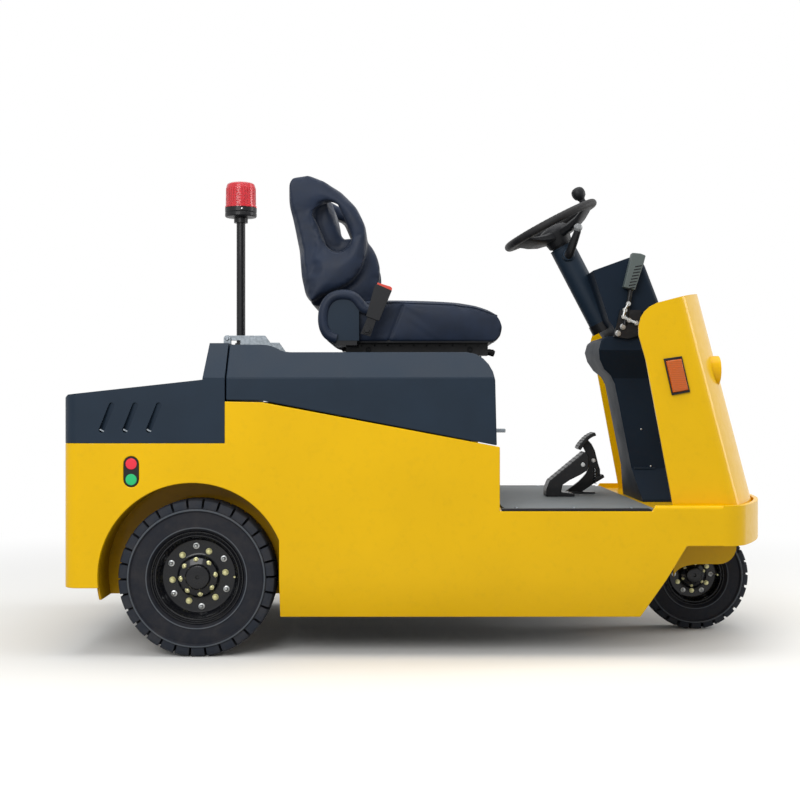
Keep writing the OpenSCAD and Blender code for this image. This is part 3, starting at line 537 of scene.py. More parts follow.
# the wheels: way is the side that the disc's open face looks to
wheels = {
    "rear_wheel_right": {"kind": "rear", "tyre": "rear_tyre_right", "centre": (-575, -428, 207.5), "way": -1},
    "rear_wheel_left": {"kind": "rear", "tyre": "rear_tyre_left", "centre": (-575, 428, 207.5), "way": 1},
    "front_wheel": {"kind": "front", "tyre": "front_tyre", "centre": (831, 0, 158.5), "way": -1},
}

# tyres: smooth side walls with a raised ring, and square tread blocks parted by narrow slots
tyreSizes = {
    "rear": {"radius": 207.5, "width": 110, "bead": 122.8, "blocks": 30, "deep": 24, "slot": 6.8, "corner": 1.1},
    "front": {"radius": 158.5, "width": 90, "bead": 87.9, "blocks": 26, "deep": 17, "slot": 8.5, "corner": 1.1},
}


def tyreProfiles(t):
    # (radius, across) pairs from the middle of the tread to the bead, over a block and over a slot
    r, h, deep, bead = t["radius"], t["width"] / 2, t["deep"], t["bead"]
    wall = r - deep - 2.5
    span = wall - 8 - bead
    outer = [
        (r, 0), (r, 0.13 * h), (r, 0.2 * h), (r - 0.2, 0.6 * h), (r - 1, 0.76 * h), (r - 4, 0.85 * h),
        (r - 10, 0.885 * h), (r - 15, 0.9 * h), (wall + 2.5, 0.905 * h), (wall + 1, 0.97 * h), (wall - 0.5, h),
        (wall - 3.5, h), (wall - 5.5, 0.965 * h), (wall - 8, 0.9 * h), (bead + 0.75 * span, 0.915 * h),
        (bead + 0.5 * span, 0.915 * h), (bead + 0.34 * span, 0.9 * h), (bead + 13, 0.9 * h),
        (bead + 11, 0.93 * h), (bead + 8, 0.92 * h), (bead + 5.5, 0.86 * h), (bead + 3, 0.76 * h),
        (bead + 1, 0.7 * h), (bead, 0.66 * h),
    ]
    slotFloor = [(0.75, 0.22), (0.82, 0.5), (0.86, 0.62), (0.9, 0.7), (0.94, 0.76), (0.98, 0.8)]
    floor = outer[:2] + [(r - deep * down, across * h) for down, across in slotFloor]
    floor += [(wall + 2.8, 0.83 * h)] + outer[9:]
    return outer, floor


def tyre(t, centre, way):
    outer, floor = tyreProfiles(t)
    turn = 2 * math.pi / t["blocks"]
    slot = t["slot"] / t["radius"] / turn
    corner = t["corner"] / t["radius"] / turn
    marks = [0, corner, slot - corner, slot]
    # the left and right rows of blocks are half a block apart, and each block gets two more cuts for roundness
    phases = sorted({round((m + shift) % 1, 6) for m in marks for shift in (0, 0.5)} | {0.25, 0.36, 0.75, 0.86})

    def inSlot(phase):
        return corner - 1e-6 <= phase <= slot - corner + 1e-6

    def build(bm):
        side = facing(centre, (0, way, 0))
        rings = []
        for block in range(t["blocks"]):
            for phase in phases:
                a = 2 * math.pi * (block + phase) / t["blocks"]
                near = floor if inSlot(phase) else outer
                far = floor if inSlot((phase + 0.5) % 1) else outer
                path = [(r, -w) for r, w in reversed(far[1:])] + near
                rings.append([bm.verts.new(side @ Vector((r * math.cos(a), r * math.sin(a), w))) for r, w in path])
        count = len(rings[0])
        last = len(outer)
        for a, b in zip(rings, rings[1:] + rings[:1]):
            for i in range(count):
                j = (i + 1) % count
                place = i - last + 1 if i >= last - 1 else last - 2 - i
                # the raised ring and the bead ridge get a lighter rubber as a painted highlight, the blocks are dusty
                finish = 2 if place in (9, 10, 18) else 1 if place < 8 else 0
                bm.faces.new([a[i], a[j], b[j], b[i]]).material_index = finish
    return build


print("tyres")
for name, w in wheels.items():
    newShape(w["tyre"] + "_treaded", name, ["tyreRubber", "treadRubber", "scuffedRubber"],
             tyre(tyreSizes[w["kind"]], w["centre"], w["way"]), [w["tyre"]], 32)


# wheel discs: a rolled flange, a deep well, a flat disc and a capped hub
discSizes = {
    "rear": {"radius": 122.6, "half": 39.6, "bore": 19.3},
    "front": {"radius": 87.6, "half": 32.4, "bore": 12.3},
}


def wheelDisc(d, centre, way):
    def build(bm):
        # drawn for the rear wheel and scaled for the front one
        k, h = d["radius"] / discSizes["rear"]["radius"], d["half"] / discSizes["rear"]["half"]
        hub = [(0, 29), (4, 29), (5, 30), (5, 32.4), (6, 33)]
        hub += [(r * k, z) for r, z in (
            (24, 33), (30, 31.5), (33, 28.5), (34, 25), (34, 22.5), (36, 21.5), (49, 18.5), (50.5, 17.5),
            (51.5, 10), (53.5, 6), (58, 3), (62, 2), (92, 2), (96, 3))]
        well = [(r * k, z * h) for r, z in (
            (100, 7), (103, 13), (105, 23), (106, 31), (107.5, 34.8), (109.5, 36.8), (112, 37), (113.5, 35.4),
            (115, 34.6), (116.5, 35.6), (118, 39.2), (119.6, 41.2), (121.6, 41.4), (122.6, 40), (122.6, -37.4),
            (121, -39.4), (117, -38), (112, -34), (104, -22))]
        inner = [(99 * k, -8), (94 * k, -6), (51.5 * k, -6), (49 * k, -27.7 * h),
                 (d["bore"], -27.7 * h), (d["bore"], 23), (0, 23)]
        turned(bm, hub + well + inner, facing(centre, (0, way, 0)), 96)
    return build


print("wheels")
for name, w in wheels.items():
    newShape(name + "_disc", name, ["rimEnamel"], wheelDisc(discSizes[w["kind"]], w["centre"], w["way"]),
             [name], 30)


# wheel fixings: bright studs and brass nuts by turns and an inner ring of brass studs
fixings = {
    "face": 2, "hubFace": 18.6,
    "rear": {"studs": (6, 81, 5.5, 12, 35), "nuts": (6, 71, 12, 8, 8), "inner": (8, 45, 5.4, 5, 7), "valve": 95},
    "front": {"studs": (6, 55, 4.5, 9, 60), "nuts": (6, 49, 10, 7, 88), "inner": (6, 31.5, 3.4, 4, 20), "valve": 69},
}


def wheelFixings(f, centre, way):
    def build(bm):
        side = facing(centre, (0, way, 0))
        for spot, size, height in boltRing(side, f["studs"], fixings["face"]):
            turned(bm, [(0, -1), (size + 3, -1), (size + 3, 1.5), (size + 2, 2.4), (size, 2.6)], spot, 20)
            domeHead(bm, spot, size, height)
        for spot, size, height in boltRing(side, f["nuts"], fixings["face"]):
            hexHead(bm, spot, size, height, 1, size * 0.72)
            turned(bm, [(0, 0), (size * 0.26, 0), (size * 0.26, height + 4), (0, height + 4.6)], spot, 12, 1)
        for spot, size, height in boltRing(side, f["inner"], fixings["hubFace"]):
            turned(bm, [(0, -1), (size + 1.6, -1), (size + 1.6, 0.6), (size + 1, 1), (0, 1)], spot, 16, 1)
            domeHead(bm, spot, size, height, 1)
        valve = f["valve"]
        tube(bm, [side @ Vector(p) for p in ((valve, 0, 3), (valve, 0, 16), (valve + 2, 0, 24))], 2.6, 10, 1)
    return build


for name, w in wheels.items():
    newShape(name + "_fixings", name, ["zincPlate", "brassNut"],
             wheelFixings(fixings[w["kind"]], w["centre"], w["way"]))


# steering wheel: a padded rim on a dished hub with three wide spokes
print("steering wheel")
helm = {"centre": (409, 0, 1197.5), "tilt": 27.5, "rim": 139, "section": 13, "grips": 60, "ripple": 0.45,
        "spokes": (90, 210, 330), "knobAt": 23}
columnPlace = Matrix.Translation(helm["centre"]) @ Matrix.Rotation(math.radians(-helm["tilt"]), 4, "Y")


def steeringWheel(bm):
    steps, around = 120, 16
    rings = []
    for i in range(steps):
        angle = 2 * math.pi * i / steps
        thick = helm["section"] - helm["ripple"] * abs(math.sin(helm["grips"] * angle / 2))
        ring = []
        for k in range(around):
            a = 2 * math.pi * k / around
            out = helm["rim"] + thick * math.cos(a)
            point = Vector((out * math.cos(angle), out * math.sin(angle), thick * 0.94 * math.sin(a)))
            ring.append(bm.verts.new(columnPlace @ point))
        rings.append(ring)
    joinRings(bm, rings, around, 0, True)
    hub = [(0, -8), (30, -8), (37, -10), (42, -15), (45, -23), (45, -31), (42, -42), (38, -56), (36.5, -64),
           (34, -67.5), (30, -68), (29, -73), (15, -73), (15, -104), (0, -104)]
    turned(bm, hub, columnPlace, 64, 1)
    turned(bm, [(0, -4.5), (20, -4.8), (26, -6), (27.5, -9), (0, -9)], columnPlace, 40, 1)
    # a spoke's cuts from the hub to the rim: out, up, thickness and width
    spoke = [(30, -34, 30, 66), (60, -32, 25, 74), (92, -24, 18, 78), (116, -13, 13, 76), (129, -5, 10, 70),
             (136, 0, 8, 60)]
    section = [(-1, -0.5), (-0.8, -1), (0.8, -1), (1, -0.5), (1, 0.5), (0.8, 1), (-0.8, 1), (-1, 0.5)]
    for degrees in helm["spokes"]:
        turn = columnPlace @ Matrix.Rotation(math.radians(degrees), 4, "Z")
        cuts = [[bm.verts.new(turn @ Vector((x, y * wide / 2, z + up * thick / 2))) for y, up in section]
                for x, z, thick, wide in spoke]
        joinRings(bm, cuts, len(section), 1)
        bm.faces.new(cuts[0]).material_index = 1
        bm.faces.new(cuts[-1]).material_index = 1


newShape("steering_wheel_padded", "steering_wheel", ["gripRubber", "blackAbs"], steeringWheel,
         ["steering_wheel"], 45)


# spinner knob: a mushroom grip on a swivel clamped to the rim
def spinnerKnob(bm):
    turn = Matrix.Rotation(math.radians(helm["knobAt"]), 4, "Z")
    place = columnPlace @ turn @ Matrix.Translation((helm["rim"], 0, 0))
    box(bm, (0, 0, 11), (30, 26, 9), place)
    turned(bm, [(0, 9), (13, 9), (13, 19), (10, 21), (9.5, 28), (12, 32), (17.5, 37), (20.5, 46), (20.5, 54),
                (18, 62), (12, 67), (5, 69), (0, 69)], place, 40)


newShape("spinner_knob_shape", "steering_wheel", ["blackAbs"], spinnerKnob, ["spinner_knob"],
         40, 1.2)


# beacon: black base, red lens with inner prisms and a rounded top
print("beacon")
beacon = {"x": -550, "y": 300, "top": 1373, "lens": 80, "base": 110, "prisms": 32, "foot": 828.3, "clamp": 834,
          "screws": (40, 160, 280)}


def beaconLens(bm):
    top = beacon["top"]
    low = top - beacon["lens"]
    place = Matrix.Translation((beacon["x"], beacon["y"], 0))
    turned(bm, [(0, low + 0.4), (50.4, low + 0.4), (50.4, low + 5), (48.5, low + 6.5), (47.5, low + 40),
                (46.5, top - 14), (43.5, top - 5), (37, top - 1), (28, top), (0, top)], place, 64)
    for k in range(beacon["prisms"]):
        turn = place @ Matrix.Rotation(2 * math.pi * k / beacon["prisms"], 4, "Z")
        prism(bm, [(46.0, low + 10), (48.6, low + 10), (47.6, top - 18), (45.2, top - 18)], -1.2, 1.2, turn)


def beaconStand(bm):
    x, y, foot, clamp = (beacon[key] for key in ("x", "y", "foot", "clamp"))
    low = beacon["top"] - beacon["base"]
    place = Matrix.Translation((x, y, 0))
    turned(bm, [(0, low - 18), (22, low - 18), (22, low - 3), (30, low - 1), (48, low), (50.5, low + 3),
                (50.5, low + 12), (49, low + 14), (50.5, low + 16), (50.5, low + 29.5), (0, low + 29.5)], place, 64)
    turned(bm, [(0, foot), (14, foot), (14, low - 17), (0, low - 17)], place, 32)
    turned(bm, [(14, clamp), (19, clamp), (19, clamp + 24), (17.5, clamp + 26), (14, clamp + 26)], place, 32)
    for degrees in beacon["screws"]:
        c, s = math.cos(math.radians(degrees)), math.sin(math.radians(degrees))
        domeHead(bm, facing((x + 50.5 * c, y + 50.5 * s, low + 22), (c, s, 0)), 3.2, 2, 1)
    box(bm, (x + 10, y, foot + 2.5), (80, 60, 5))
    for dx in (-20, 40):
        for dy in (-22, 22):
            hexHead(bm, Matrix.Translation((x + dx, y + dy, clamp - 1)), 10, 5, 1, 7.5)


newShape("beacon_lens", "chassis", ["redAcrylic"], beaconLens, ["beacon"], 35)
newShape("beacon_stand", "chassis", ["satinBlack", "zincPlate"], beaconStand, ["beacon_pole"], 35)


# headlamps: a yellow pot in the shield with a chrome bowl, a bulb and a fluted glass
print("lamps")
headlamp = {"x": 798, "y": 300, "z": 758, "screws": (3, 37.5, 1.6, 1.0, 30), "screwFace": 39.4}


def headlampPlaces():
    return [facing((headlamp["x"], side * headlamp["y"], headlamp["z"]), (1, 0, 0)) for side in (-1, 1)]


def headlampPots(bm):
    pot = [(0, 0), (33, 0), (37.5, 2.5), (40, 8), (40, 39), (39, 40), (36, 40), (35, 37.5), (35, 35)]
    for place in headlampPlaces():
        turned(bm, pot, place, 64)
        turned(bm, [(35, 35), (34, 30), (28, 19), (19, 11), (9, 8), (0, 8)], place, 48, 1)
        turned(bm, [(0, 8), (5, 8), (5.5, 18), (4, 24), (0, 26)], place, 20, 1)
        for spot, size, height in boltRing(place, headlamp["screws"], headlamp["screwFace"]):
            domeHead(bm, spot, size, height, 2)


def headlampGlass(bm):
    for place in headlampPlaces():
        turned(bm, [(0, 35.4), (34.8, 34.6), (34.8, 36.5), (25, 38.6), (0, 39.6)], place, 48)


newShape("headlamp_pots", "chassis", ["yellowEnamel", "reflector", "zincPlate"], headlampPots,
         ["headlamps"], 35)
newShape("headlamp_glass", "chassis", ["lampGlass"], headlampGlass, (), 35)

# turn signals: layers are the insets from the outline and how far each stands out, mm
signal = {
    "y": 450.3,
    "corners": [(657, 785), (705, 792), (727, 697), (679, 688)],
    "rimLayers": [(0, 0), (0, 6), (5, 7), (5, 3)],
    "lensLayers": [(5.6, 3.2), (5.6, 8.5), (7.5, 10.8), (10, 11.8)],
}


def inward(corners, distance):
    # draws a slanted outline in towards its middle, a little more along x
    cx = sum(x for x, z in corners) / len(corners)
    cz = sum(z for x, z in corners) / len(corners)
    reach = max(math.hypot(x - cx, z - cz) for x, z in corners)
    k = 1 - distance / reach * 1.35
    return [(cx + (x - cx) * k * 0.985, cz + (z - cz) * k) for x, z in corners]


def signalLayers(layers):
    def build(bm):
        for side in (-1, 1):
            y = signal["y"] * side
            loops = [inward(signal["corners"], inset) if inset else signal["corners"] for inset, out in layers]
            rings = [[bm.verts.new((x, y + side * out, z)) for x, z in loop]
                     for loop, (inset, out) in zip(loops, layers)]
            joinRings(bm, rings, 4)
            bm.faces.new(rings[0])
            bm.faces.new(rings[-1])
    return build


newShape("turn_signal_rims", "chassis", ["blackAbs"], signalLayers(signal["rimLayers"]),
         ["turn_signals"], 35, 0.8)
newShape("turn_signal_lenses", "chassis", ["amberAcrylic"], signalLayers(signal["lensLayers"]),
         (), 35, 1.2)

tailLamp = {"x": -922, "y": 400, "z": 470}


def tailLamps(bm):
    ring = [(0, -22), (39.6, -22), (39.6, 2), (39, 4), (37, 5), (35.5, 3)]
    lens = [(0, -2), (35.3, -2), (35.3, 2.5), (34, 4), (25, 5.4), (24, 4.2), (23, 5.6), (12, 5.9), (11, 4.8),
            (10, 5.9), (0, 6)]
    for side in (-1, 1):
        place = facing((tailLamp["x"], side * tailLamp["y"], tailLamp["z"]), (-1, 0, 0))
        turned(bm, ring, place, 64, 1)
        turned(bm, lens, place, 64)


newShape("tail_lamp_lenses", "chassis", ["redAcrylic", "blackAbs"], tailLamps, ["tail_lamps"], 30)


# push buttons of the inching station: red above green, each in its dark ring
inching = {"x": -742, "y": -498, "heights": (509, 468)}


def pushButtons(bm):
    for material, z in enumerate(inching["heights"]):
        place = facing((inching["x"], inching["y"], z), (0, -1, 0))
        turned(bm, [(0, -1.5), (17.6, -1.5), (17.6, 0.6), (16.6, 1.4), (15.4, 1.4), (15.4, -0.5)], place, 48, 2)
        turned(bm, [(0, -1), (14.8, -1), (14.8, 0.9), (13.8, 1.8), (9, 2.0), (0, 1.7)], place, 48, material)


newShape("inching_buttons", "chassis", ["redButton", "greenButton", "blackAbs"], pushButtons,
         (), 35)


# parking brake: a flat grip with finger ribs, its rod, a plated toggle link and the bracket's bolts
print("levers")
parkingBrake = {
    "y": -167.3,
    "ribs": 8,
    "grip": [(597, 998), (629, 989), (653, 1062), (660, 1088), (645, 1094), (621, 1096)],
    "rod": [(602, 890), (606, 915), (620, 995)],
    "link": [(611, 951), (601, 933), (597, 914), (613, 904), (634, 896)],
    "bracket": [(572, 858), (612, 852), (652, 864), (648, 934), (590, 934)],
    "bolts": [(583, 867), (597, 886)],
}


def brakeGrip(bm):
    y = parkingBrake["y"]
    prism(bm, parkingBrake["grip"], y - 16, y + 16)


def brakeLinkage(bm):
    y = parkingBrake["y"]
    for k in range(parkingBrake["ribs"]):
        f = 0.1 + 0.82 * k / (parkingBrake["ribs"] - 1)
        x, z = 629 + 25 * f, 989 + 76 * f
        tube(bm, [(x - 0.6, y - 14.5, z), (x - 0.6, y + 14.5, z)], 2, 10)
        for side in (-1, 1):
            tube(bm, [(x - 23, y + side * 15.4, z - 3), (x - 4, y + side * 15.4, z)], 1.9, 8)
    tube(bm, [(x, y, z) for x, z in parkingBrake["rod"]], 6.6, 14, 1)
    link = parkingBrake["link"]
    for x, z in link:
        turned(bm, [(0, -4), (6.5, -4), (6.5, 4), (0, 4)], facing((x, y - 9, z), (0, -1, 0)), 18, 2)
    for a, b in zip(link, link[1:]):
        tube(bm, [(a[0], y - 10, a[1]), (b[0], y - 10, b[1])], 4, 10, 2)
    prism(bm, parkingBrake["bracket"], y + 1, y + 17, material=1)
    for x, z in parkingBrake["bolts"]:
        hexHead(bm, facing((x, y + 1, z), (0, -1, 0)), 11, 7, 2, 8.5)


newShape("brake_grip", "chassis", ["gripGrey"], brakeGrip, ["brake_lever"], 35, 2.5)
newShape("brake_linkage", "chassis", ["blackAbs", "satinBlack", "zincPlate"], brakeLinkage, (), 35)

# direction lever: a collar on the column, a bent stick that tapers and a grey ball
directionLever = {
    "collar": (458, -42, 1106),
    "stick": [(457, -40, 1103), (459, -50, 1108), (462, -57, 1117), (470, -69, 1142), (479.5, -83.5, 1172)],
    "radii": [13, 13, 12.5, 12, 10],
    "ball": (480, -84, 1180),
}


def leverParts(bm):
    collar = facing(directionLever["collar"], (0.1, -1, 0.2))
    turned(bm, [(0, -14), (19, -14), (18, 0), (14, 3), (0, 3)], collar, 28)
    tube(bm, directionLever["stick"], directionLever["radii"], 20, 1)
    turned(bm, [(0, -13), (6, -12), (10.5, -7.5), (13, 0), (11.3, 6.5), (6.5, 11.3), (0, 13)],
           facing(directionLever["ball"], (0.3, -0.4, 0.9)), 28, 2)


newShape("direction_lever_shape", "chassis", ["coverAbs", "satinBlack", "greyKnob"], leverParts,
         ["direction_lever"], 40, 1.2)

# column: clamp round the foot of the tube, rim at its top, ledge and screws of the lower cover
print("column")
columnTrim = {"clamp": (-351, -324), "top": -72.6, "ledge": (671, 98, 479), "coverY": 96.2,
              "screws": [(662, 592), (690, 484)]}


def columnFittings(bm):
    low, high = columnTrim["clamp"]
    top = columnTrim["top"]
    x, y, z = columnTrim["ledge"]
    turned(bm, [(37.2, low), (39.6, low), (39.6, high), (37.2, high)], columnPlace, 64, 0, True)
    turned(bm, [(31, top - 3.9), (37.4, top - 3.9), (37.4, top - 0.9), (36, top), (32.6, top), (31, top - 1.4)],
           columnPlace, 64, 1, True)
    turned(bm, [(16, top - 3.6), (31, top - 3.6), (31, top - 2.8), (16, top - 2.8)], columnPlace, 48, 0, True)
    for side in (-1, 1):
        box(bm, (x, side * y, z), (60, 5, 5), material=1)
        for screw in columnTrim["screws"]:
            domeHead(bm, facing((screw[0], side * columnTrim["coverY"], screw[1]), (0, side, 0)), 2.6, 1.4, 2)


newShape("column_fittings", "chassis", ["satinBlack", "coverAbs", "zincPlate"], columnFittings,
         (), 35)


def laidOn(piece, name, body, material, paths, radius, lift):
    # cords or ribs laid on a finished surface along each path, their middle lifted off it or sunk in it
    tree = BVHTree.FromPolygons([v.co for v in piece.data.vertices], [p.vertices for p in piece.data.polygons])

    def build(bm):
        for path in paths:
            points = []
            for point in path:
                spot, normal = tree.find_nearest(Vector(point) * mm)[:2]
                points.append(spot / mm + normal * lift)
            tube(bm, points, radius, 8)
    newShape(name, body, [material], build, (), 60)


# pedals: a brake arm bent like a sickle, a hollow treadle, ribbed rubber pads, pivot bolts and a return spring
print("pedals")
pedals = {
    "floor": 391.6,
    "brakeY": 120,
    "brakePivot": (553, 492),
    "treadlePivot": (500, 486),
    "treadleHalf": 42,
    "pad": [(501, 530), (507, 541), (515, 551), (523, 560), (532, 568), (542, 574), (553, 579), (558, 569),
            (548, 565.5), (538, 559.5), (530, 552), (524, 544), (517, 535), (510, 524)],
    "arm": [(534, 558), (548, 542), (558, 522), (563, 502), (568, 482), (574, 464), (574, 446), (564, 430),
            (548, 416), (530, 404), (511, 391.6), (459, 391.6), (476, 404), (492, 415), (508, 427), (521, 440),
            (531, 452), (537, 466), (539, 484), (537, 501), (531, 515), (519, 538)],
    "step": [(552, 421), (585, 441), (581, 450), (556, 441)],
    "treadle": [(392, 391.6), (476, 391.6), (476, 399.6), (436, 405), (440, 426), (461, 440), (495, 457),
                (513, 469), (518, 484), (518, 508), (514, 519), (506, 524), (401, 437), (392, 414)],
    # where the first rib starts and how far up the last one lies: x, y, z, run, rise, step across, ribs
    "padRibs": (500, 84, 540, 46, 42, 12, 7),
    "treadleRibs": (399, -38, 446, 98, 80, 12.6, 10),
    "coil": {"x": 557, "y": 108, "foot": 420, "radius": 5, "rise": 1.3, "points": 76},
}


def brakeArm(bm):
    y = pedals["brakeY"]
    prism(bm, pedals["pad"], y - 40, y + 40)
    prism(bm, pedals["arm"], y - 8, y + 8)
    prism(bm, pedals["step"], y - 25, y + 25)
    box(bm, (506, y, pedals["floor"] + 2.5), (100, 60, 5))


def treadle(bm):
    prism(bm, pedals["treadle"], -pedals["treadleHalf"], pedals["treadleHalf"])


def ribPaths(x, y, z, run, rise, step, ribs):
    return [[(x + run * k / (ribs - 1), y + step * i, z + rise * k / (ribs - 1)) for i in range(7)]
            for k in range(ribs)]


brakePedal = newShape("brake_pedal_shape", "chassis", ["satinBlack"], brakeArm,
                      ["brake_pedal"], 50, 2)
accelerator = newShape("accelerator_shape", "chassis", ["satinBlack"], treadle,
                       ["accelerator"], 50, 2.5)
for pedal, name, ribs in ((brakePedal, "brake_pad_ribs", "padRibs"), (accelerator, "treadle_ribs", "treadleRibs")):
    laidOn(pedal, name, "chassis", "gripRubber", ribPaths(*pedals[ribs]), 1.4, -0.2)


def pedalFittings(bm):
    for side in (-1, 1):
        x, z = pedals["brakePivot"]
        hexHead(bm, facing((x, pedals["brakeY"] + side * 8, z), (0, side, 0)), 9, 4, 0, 6.5)
        x, z = pedals["treadlePivot"]
        hexHead(bm, facing((x, side * pedals["treadleHalf"], z), (0, side, 0)), 9, 3, 0, 6.5)
    c = pedals["coil"]
    angles = [0.5 * i for i in range(c["points"])]
    tube(bm, [(c["x"] + c["radius"] * math.cos(a), c["y"] + c["radius"] * math.sin(a), c["foot"] + a * c["rise"])
              for a in angles], 0.9, 6)
    for y in (-30, 30):
        domeHead(bm, facing((464, y, 401), (0, 0, 1)), 4, 2.4)


newShape("pedal_fittings", "chassis", ["zincPlate"], pedalFittings, (), 35)


# screws of the floor mat, a dark rubber strip along each mat edge as painted shade, and pale zinc slivers at the foot
# of each louvre as painted glints
print("trim")
trim = {
    "screwsX": (267, 418, 570), "screwY": 468, "screwZ": 391.4,
    # the pale slivers at the louvres are painted glints of light at their feet
    "louvreX": (-799, -737.5, -676), "louvreGlintY": 494,
    "louvreGlint": [(-26, 597.5), (-14, 591.5), (-13, 594.5), (-25, 601)],      # x from the louvre, and z
    # a dark rubber strip on each edge of the mat, painted shade for the mat's shadowed edge
    "shadeStrip": [(226, 385.8), (618, 385.8), (618, 388), (613, 391.9), (226, 391.9)], "shadeStripY": 487.4,
}


def bodyTrim(bm):
    for side in (-1, 1):
        for x in trim["screwsX"]:
            domeHead(bm, facing((x, side * trim["screwY"], trim["screwZ"]), (0, 0, 1)), 6.5, 2.4)
        # pale slivers at the foot of each louvre, painted glints
        y = side * trim["louvreGlintY"]
        for louvre in trim["louvreX"]:
            prism(bm, [(louvre + x, z) for x, z in trim["louvreGlint"]], y - 3, y + 3)


# a dark strip standing along each mat edge: painted shade where the mat's edge lies in shadow
def matShadeStrip(bm):
    for side in (-1, 1):
        y = side * trim["shadeStripY"]
        prism(bm, trim["shadeStrip"], y - 11, y + 11)


newShape("body_trim", "chassis", ["hotDipZinc"], bodyTrim, (), 35)
newShape("mat_shade_strip", "chassis", ["gripRubber"], matShadeStrip, (), 35, 1.5)


# seat: the CAD solids are crowned and rounded, blown up by a short cloth simulation between their sewn
# channels, then stitched; rest is where the cover lies on the frame, and channels and side seams are in mm
print("seat")
seatPads = {
    "seat_cushion": {
        "voxel": 6, "rounds": 4, "inset": 2, "cap": 12, "side": 172,
        "channels": [("x", -70), ("x", 40), ("x", 150)],
        "rest": lambda p: p.z < 0.846,
        "crown": lambda p: Vector((p.x + 0.018 * (p.x + 0.23), p.y, p.z + 0.085 * max(p.z - 0.85, 0))),
    },
    "seat_back": {
        "voxel": 6.5, "rounds": 8, "inset": 0.6, "cap": 10, "side": 128,
        "channels": [("z", 1015), ("z", 1090), ("z", 1165)],
        "rest": lambda p: p.z < 0.962 and abs(p.y) < 0.2,
        "crown": lambda p: Vector((p.x + 0.6 * max(-0.338 - p.x, 0) * min(max(p.z - 1.2, 0) / 0.06, 1), p.y,
                                   p.z + 0.3 * max(p.z - 1.25, 0))),
    },
}
seams = {"pinned": 5, "width": 6, "depth": 3.2}      # mm
clothFrames = 20
clothSettings = {
    "quality": 4, "mass": 0.3, "tension_stiffness": 12, "compression_stiffness": 12, "shear_stiffness": 5,
    "bending_stiffness": 0.4, "use_pressure": True, "uniform_pressure_force": 4, "vertex_group_mass": "sewn",
}


def smoothPath(points, rounds=2):
    # cuts the corners of a path, twice
    for turn in range(rounds):
        finer = [points[0]]
        for a, b in zip(points, points[1:]):
            finer += [tuple((1 - f) * p + f * q for p, q in zip(a, b)) for f in (0.25, 0.75)]
        points = finer + [points[-1]]
    return points


def onSeam(p, pad, name, width):
    # how far inside a seam line a point lies, 0 to 1
    depth = 0.0
    if name == "seat_cushion" and abs(p.y) > 0.2:
        # the side seam slants forward from the piping to the foot of the cushion
        away = abs((p.x + 0.071) * 0.931 - (p.z - 0.844) * 0.365)
        return max(1 - away / (width * mm), 0.0) if p.z < 0.944 else 0.0
    front = p.z > 0.90 if name == "seat_cushion" else p.x > -0.24 and abs(p.y) < 0.2
    if not front:
        return 0.0
    if abs(p.y) < (pad["side"] + width) * mm:
        for axis, value in pad["channels"]:
            along = p.x if axis == "x" else p.z
            depth = max(depth, 1 - abs(along - value * mm) / (width * mm))
    if name == "seat_cushion" or p.z < 1.20:
        depth = max(depth, 1 - abs(abs(p.y) - pad["side"] * mm) / (width * mm))
    return max(depth, 0.0)


def inflate(piece, pad, name):
    data = piece.data
    count = len(data.vertices)
    before = np.empty(count * 3)
    data.vertices.foreach_get("co", before)
    pinned = piece.vertex_groups.new(name="sewn")
    pinned.add([v.index for v in data.vertices if pad["rest"](v.co) or onSeam(v.co, pad, name, seams["pinned"]) > 0],
               1.0, "REPLACE")
    cloth = piece.modifiers.new("cloth", "CLOTH")
    for key, value in clothSettings.items():
        setattr(cloth.settings, key, value)
    cloth.settings.effector_weights.gravity = 0
    cloth.point_cache.frame_start = 1
    cloth.point_cache.frame_end = clothFrames
    for step in range(1, clothFrames + 1):
        scene.frame_set(step)
    shaped = piece.evaluated_get(bpy.context.evaluated_depsgraph_get())
    after = np.empty(count * 3)
    shaped.data.vertices.foreach_get("co", after)
    piece.modifiers.clear()
    # no point moves further than the cap
    move = (after - before).reshape(-1, 3)
    length = np.linalg.norm(move, axis=1, keepdims=True)
    move *= np.minimum(1, pad["cap"] * mm / np.maximum(length, 1e-9))
    data.vertices.foreach_set("co", (before.reshape(-1, 3) + move).ravel())
    data.update()
    scene.frame_set(1)


def sewChannels(piece, pad, name):
    bm = bmesh.new()
    bm.from_mesh(piece.data)
    bm.normal_update()
    for vert in bm.verts:
        depth = onSeam(vert.co, pad, name, seams["width"])
        if depth > 0:
            vert.co -= vert.normal * (seams["depth"] * mm * depth)
    bm.to_mesh(piece.data)
    bm.free()


def paddedSeat(name, pad):
    source = frame["nodes"][name]
    piece = newPiece(name + "_padded", source.data.copy(), source["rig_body"], [name])
    cells = piece.modifiers.new("cells", "REMESH")
    cells.mode = "VOXEL"
    cells.voxel_size = pad["voxel"] * mm
    applyModifiers(piece)
    bm = bmesh.new()
    bm.from_mesh(piece.data)
    for vert in bm.verts:
        vert.co = pad["crown"](vert.co)
    for turn in range(pad["rounds"]):
        bmesh.ops.smooth_vert(bm, verts=bm.verts, factor=0.5, use_axis_x=True, use_axis_y=True, use_axis_z=True)
    bm.normal_update()
    for vert in bm.verts:
        if not pad["rest"](vert.co):
            vert.co -= vert.normal * (pad["inset"] * mm)
    bm.to_mesh(piece.data)
    bm.free()
    inflate(piece, pad, name)
    finer = piece.modifiers.new("finer", "SUBSURF")
    finer.levels = 1
    finer.render_levels = 1
    applyModifiers(piece)
    sewChannels(piece, pad, name)
    setMaterial(piece, "leatherette")
    shadeByAngle(piece.data, 70)
    return piece


pads = {name: paddedSeat(name, pad) for name, pad in seatPads.items()}

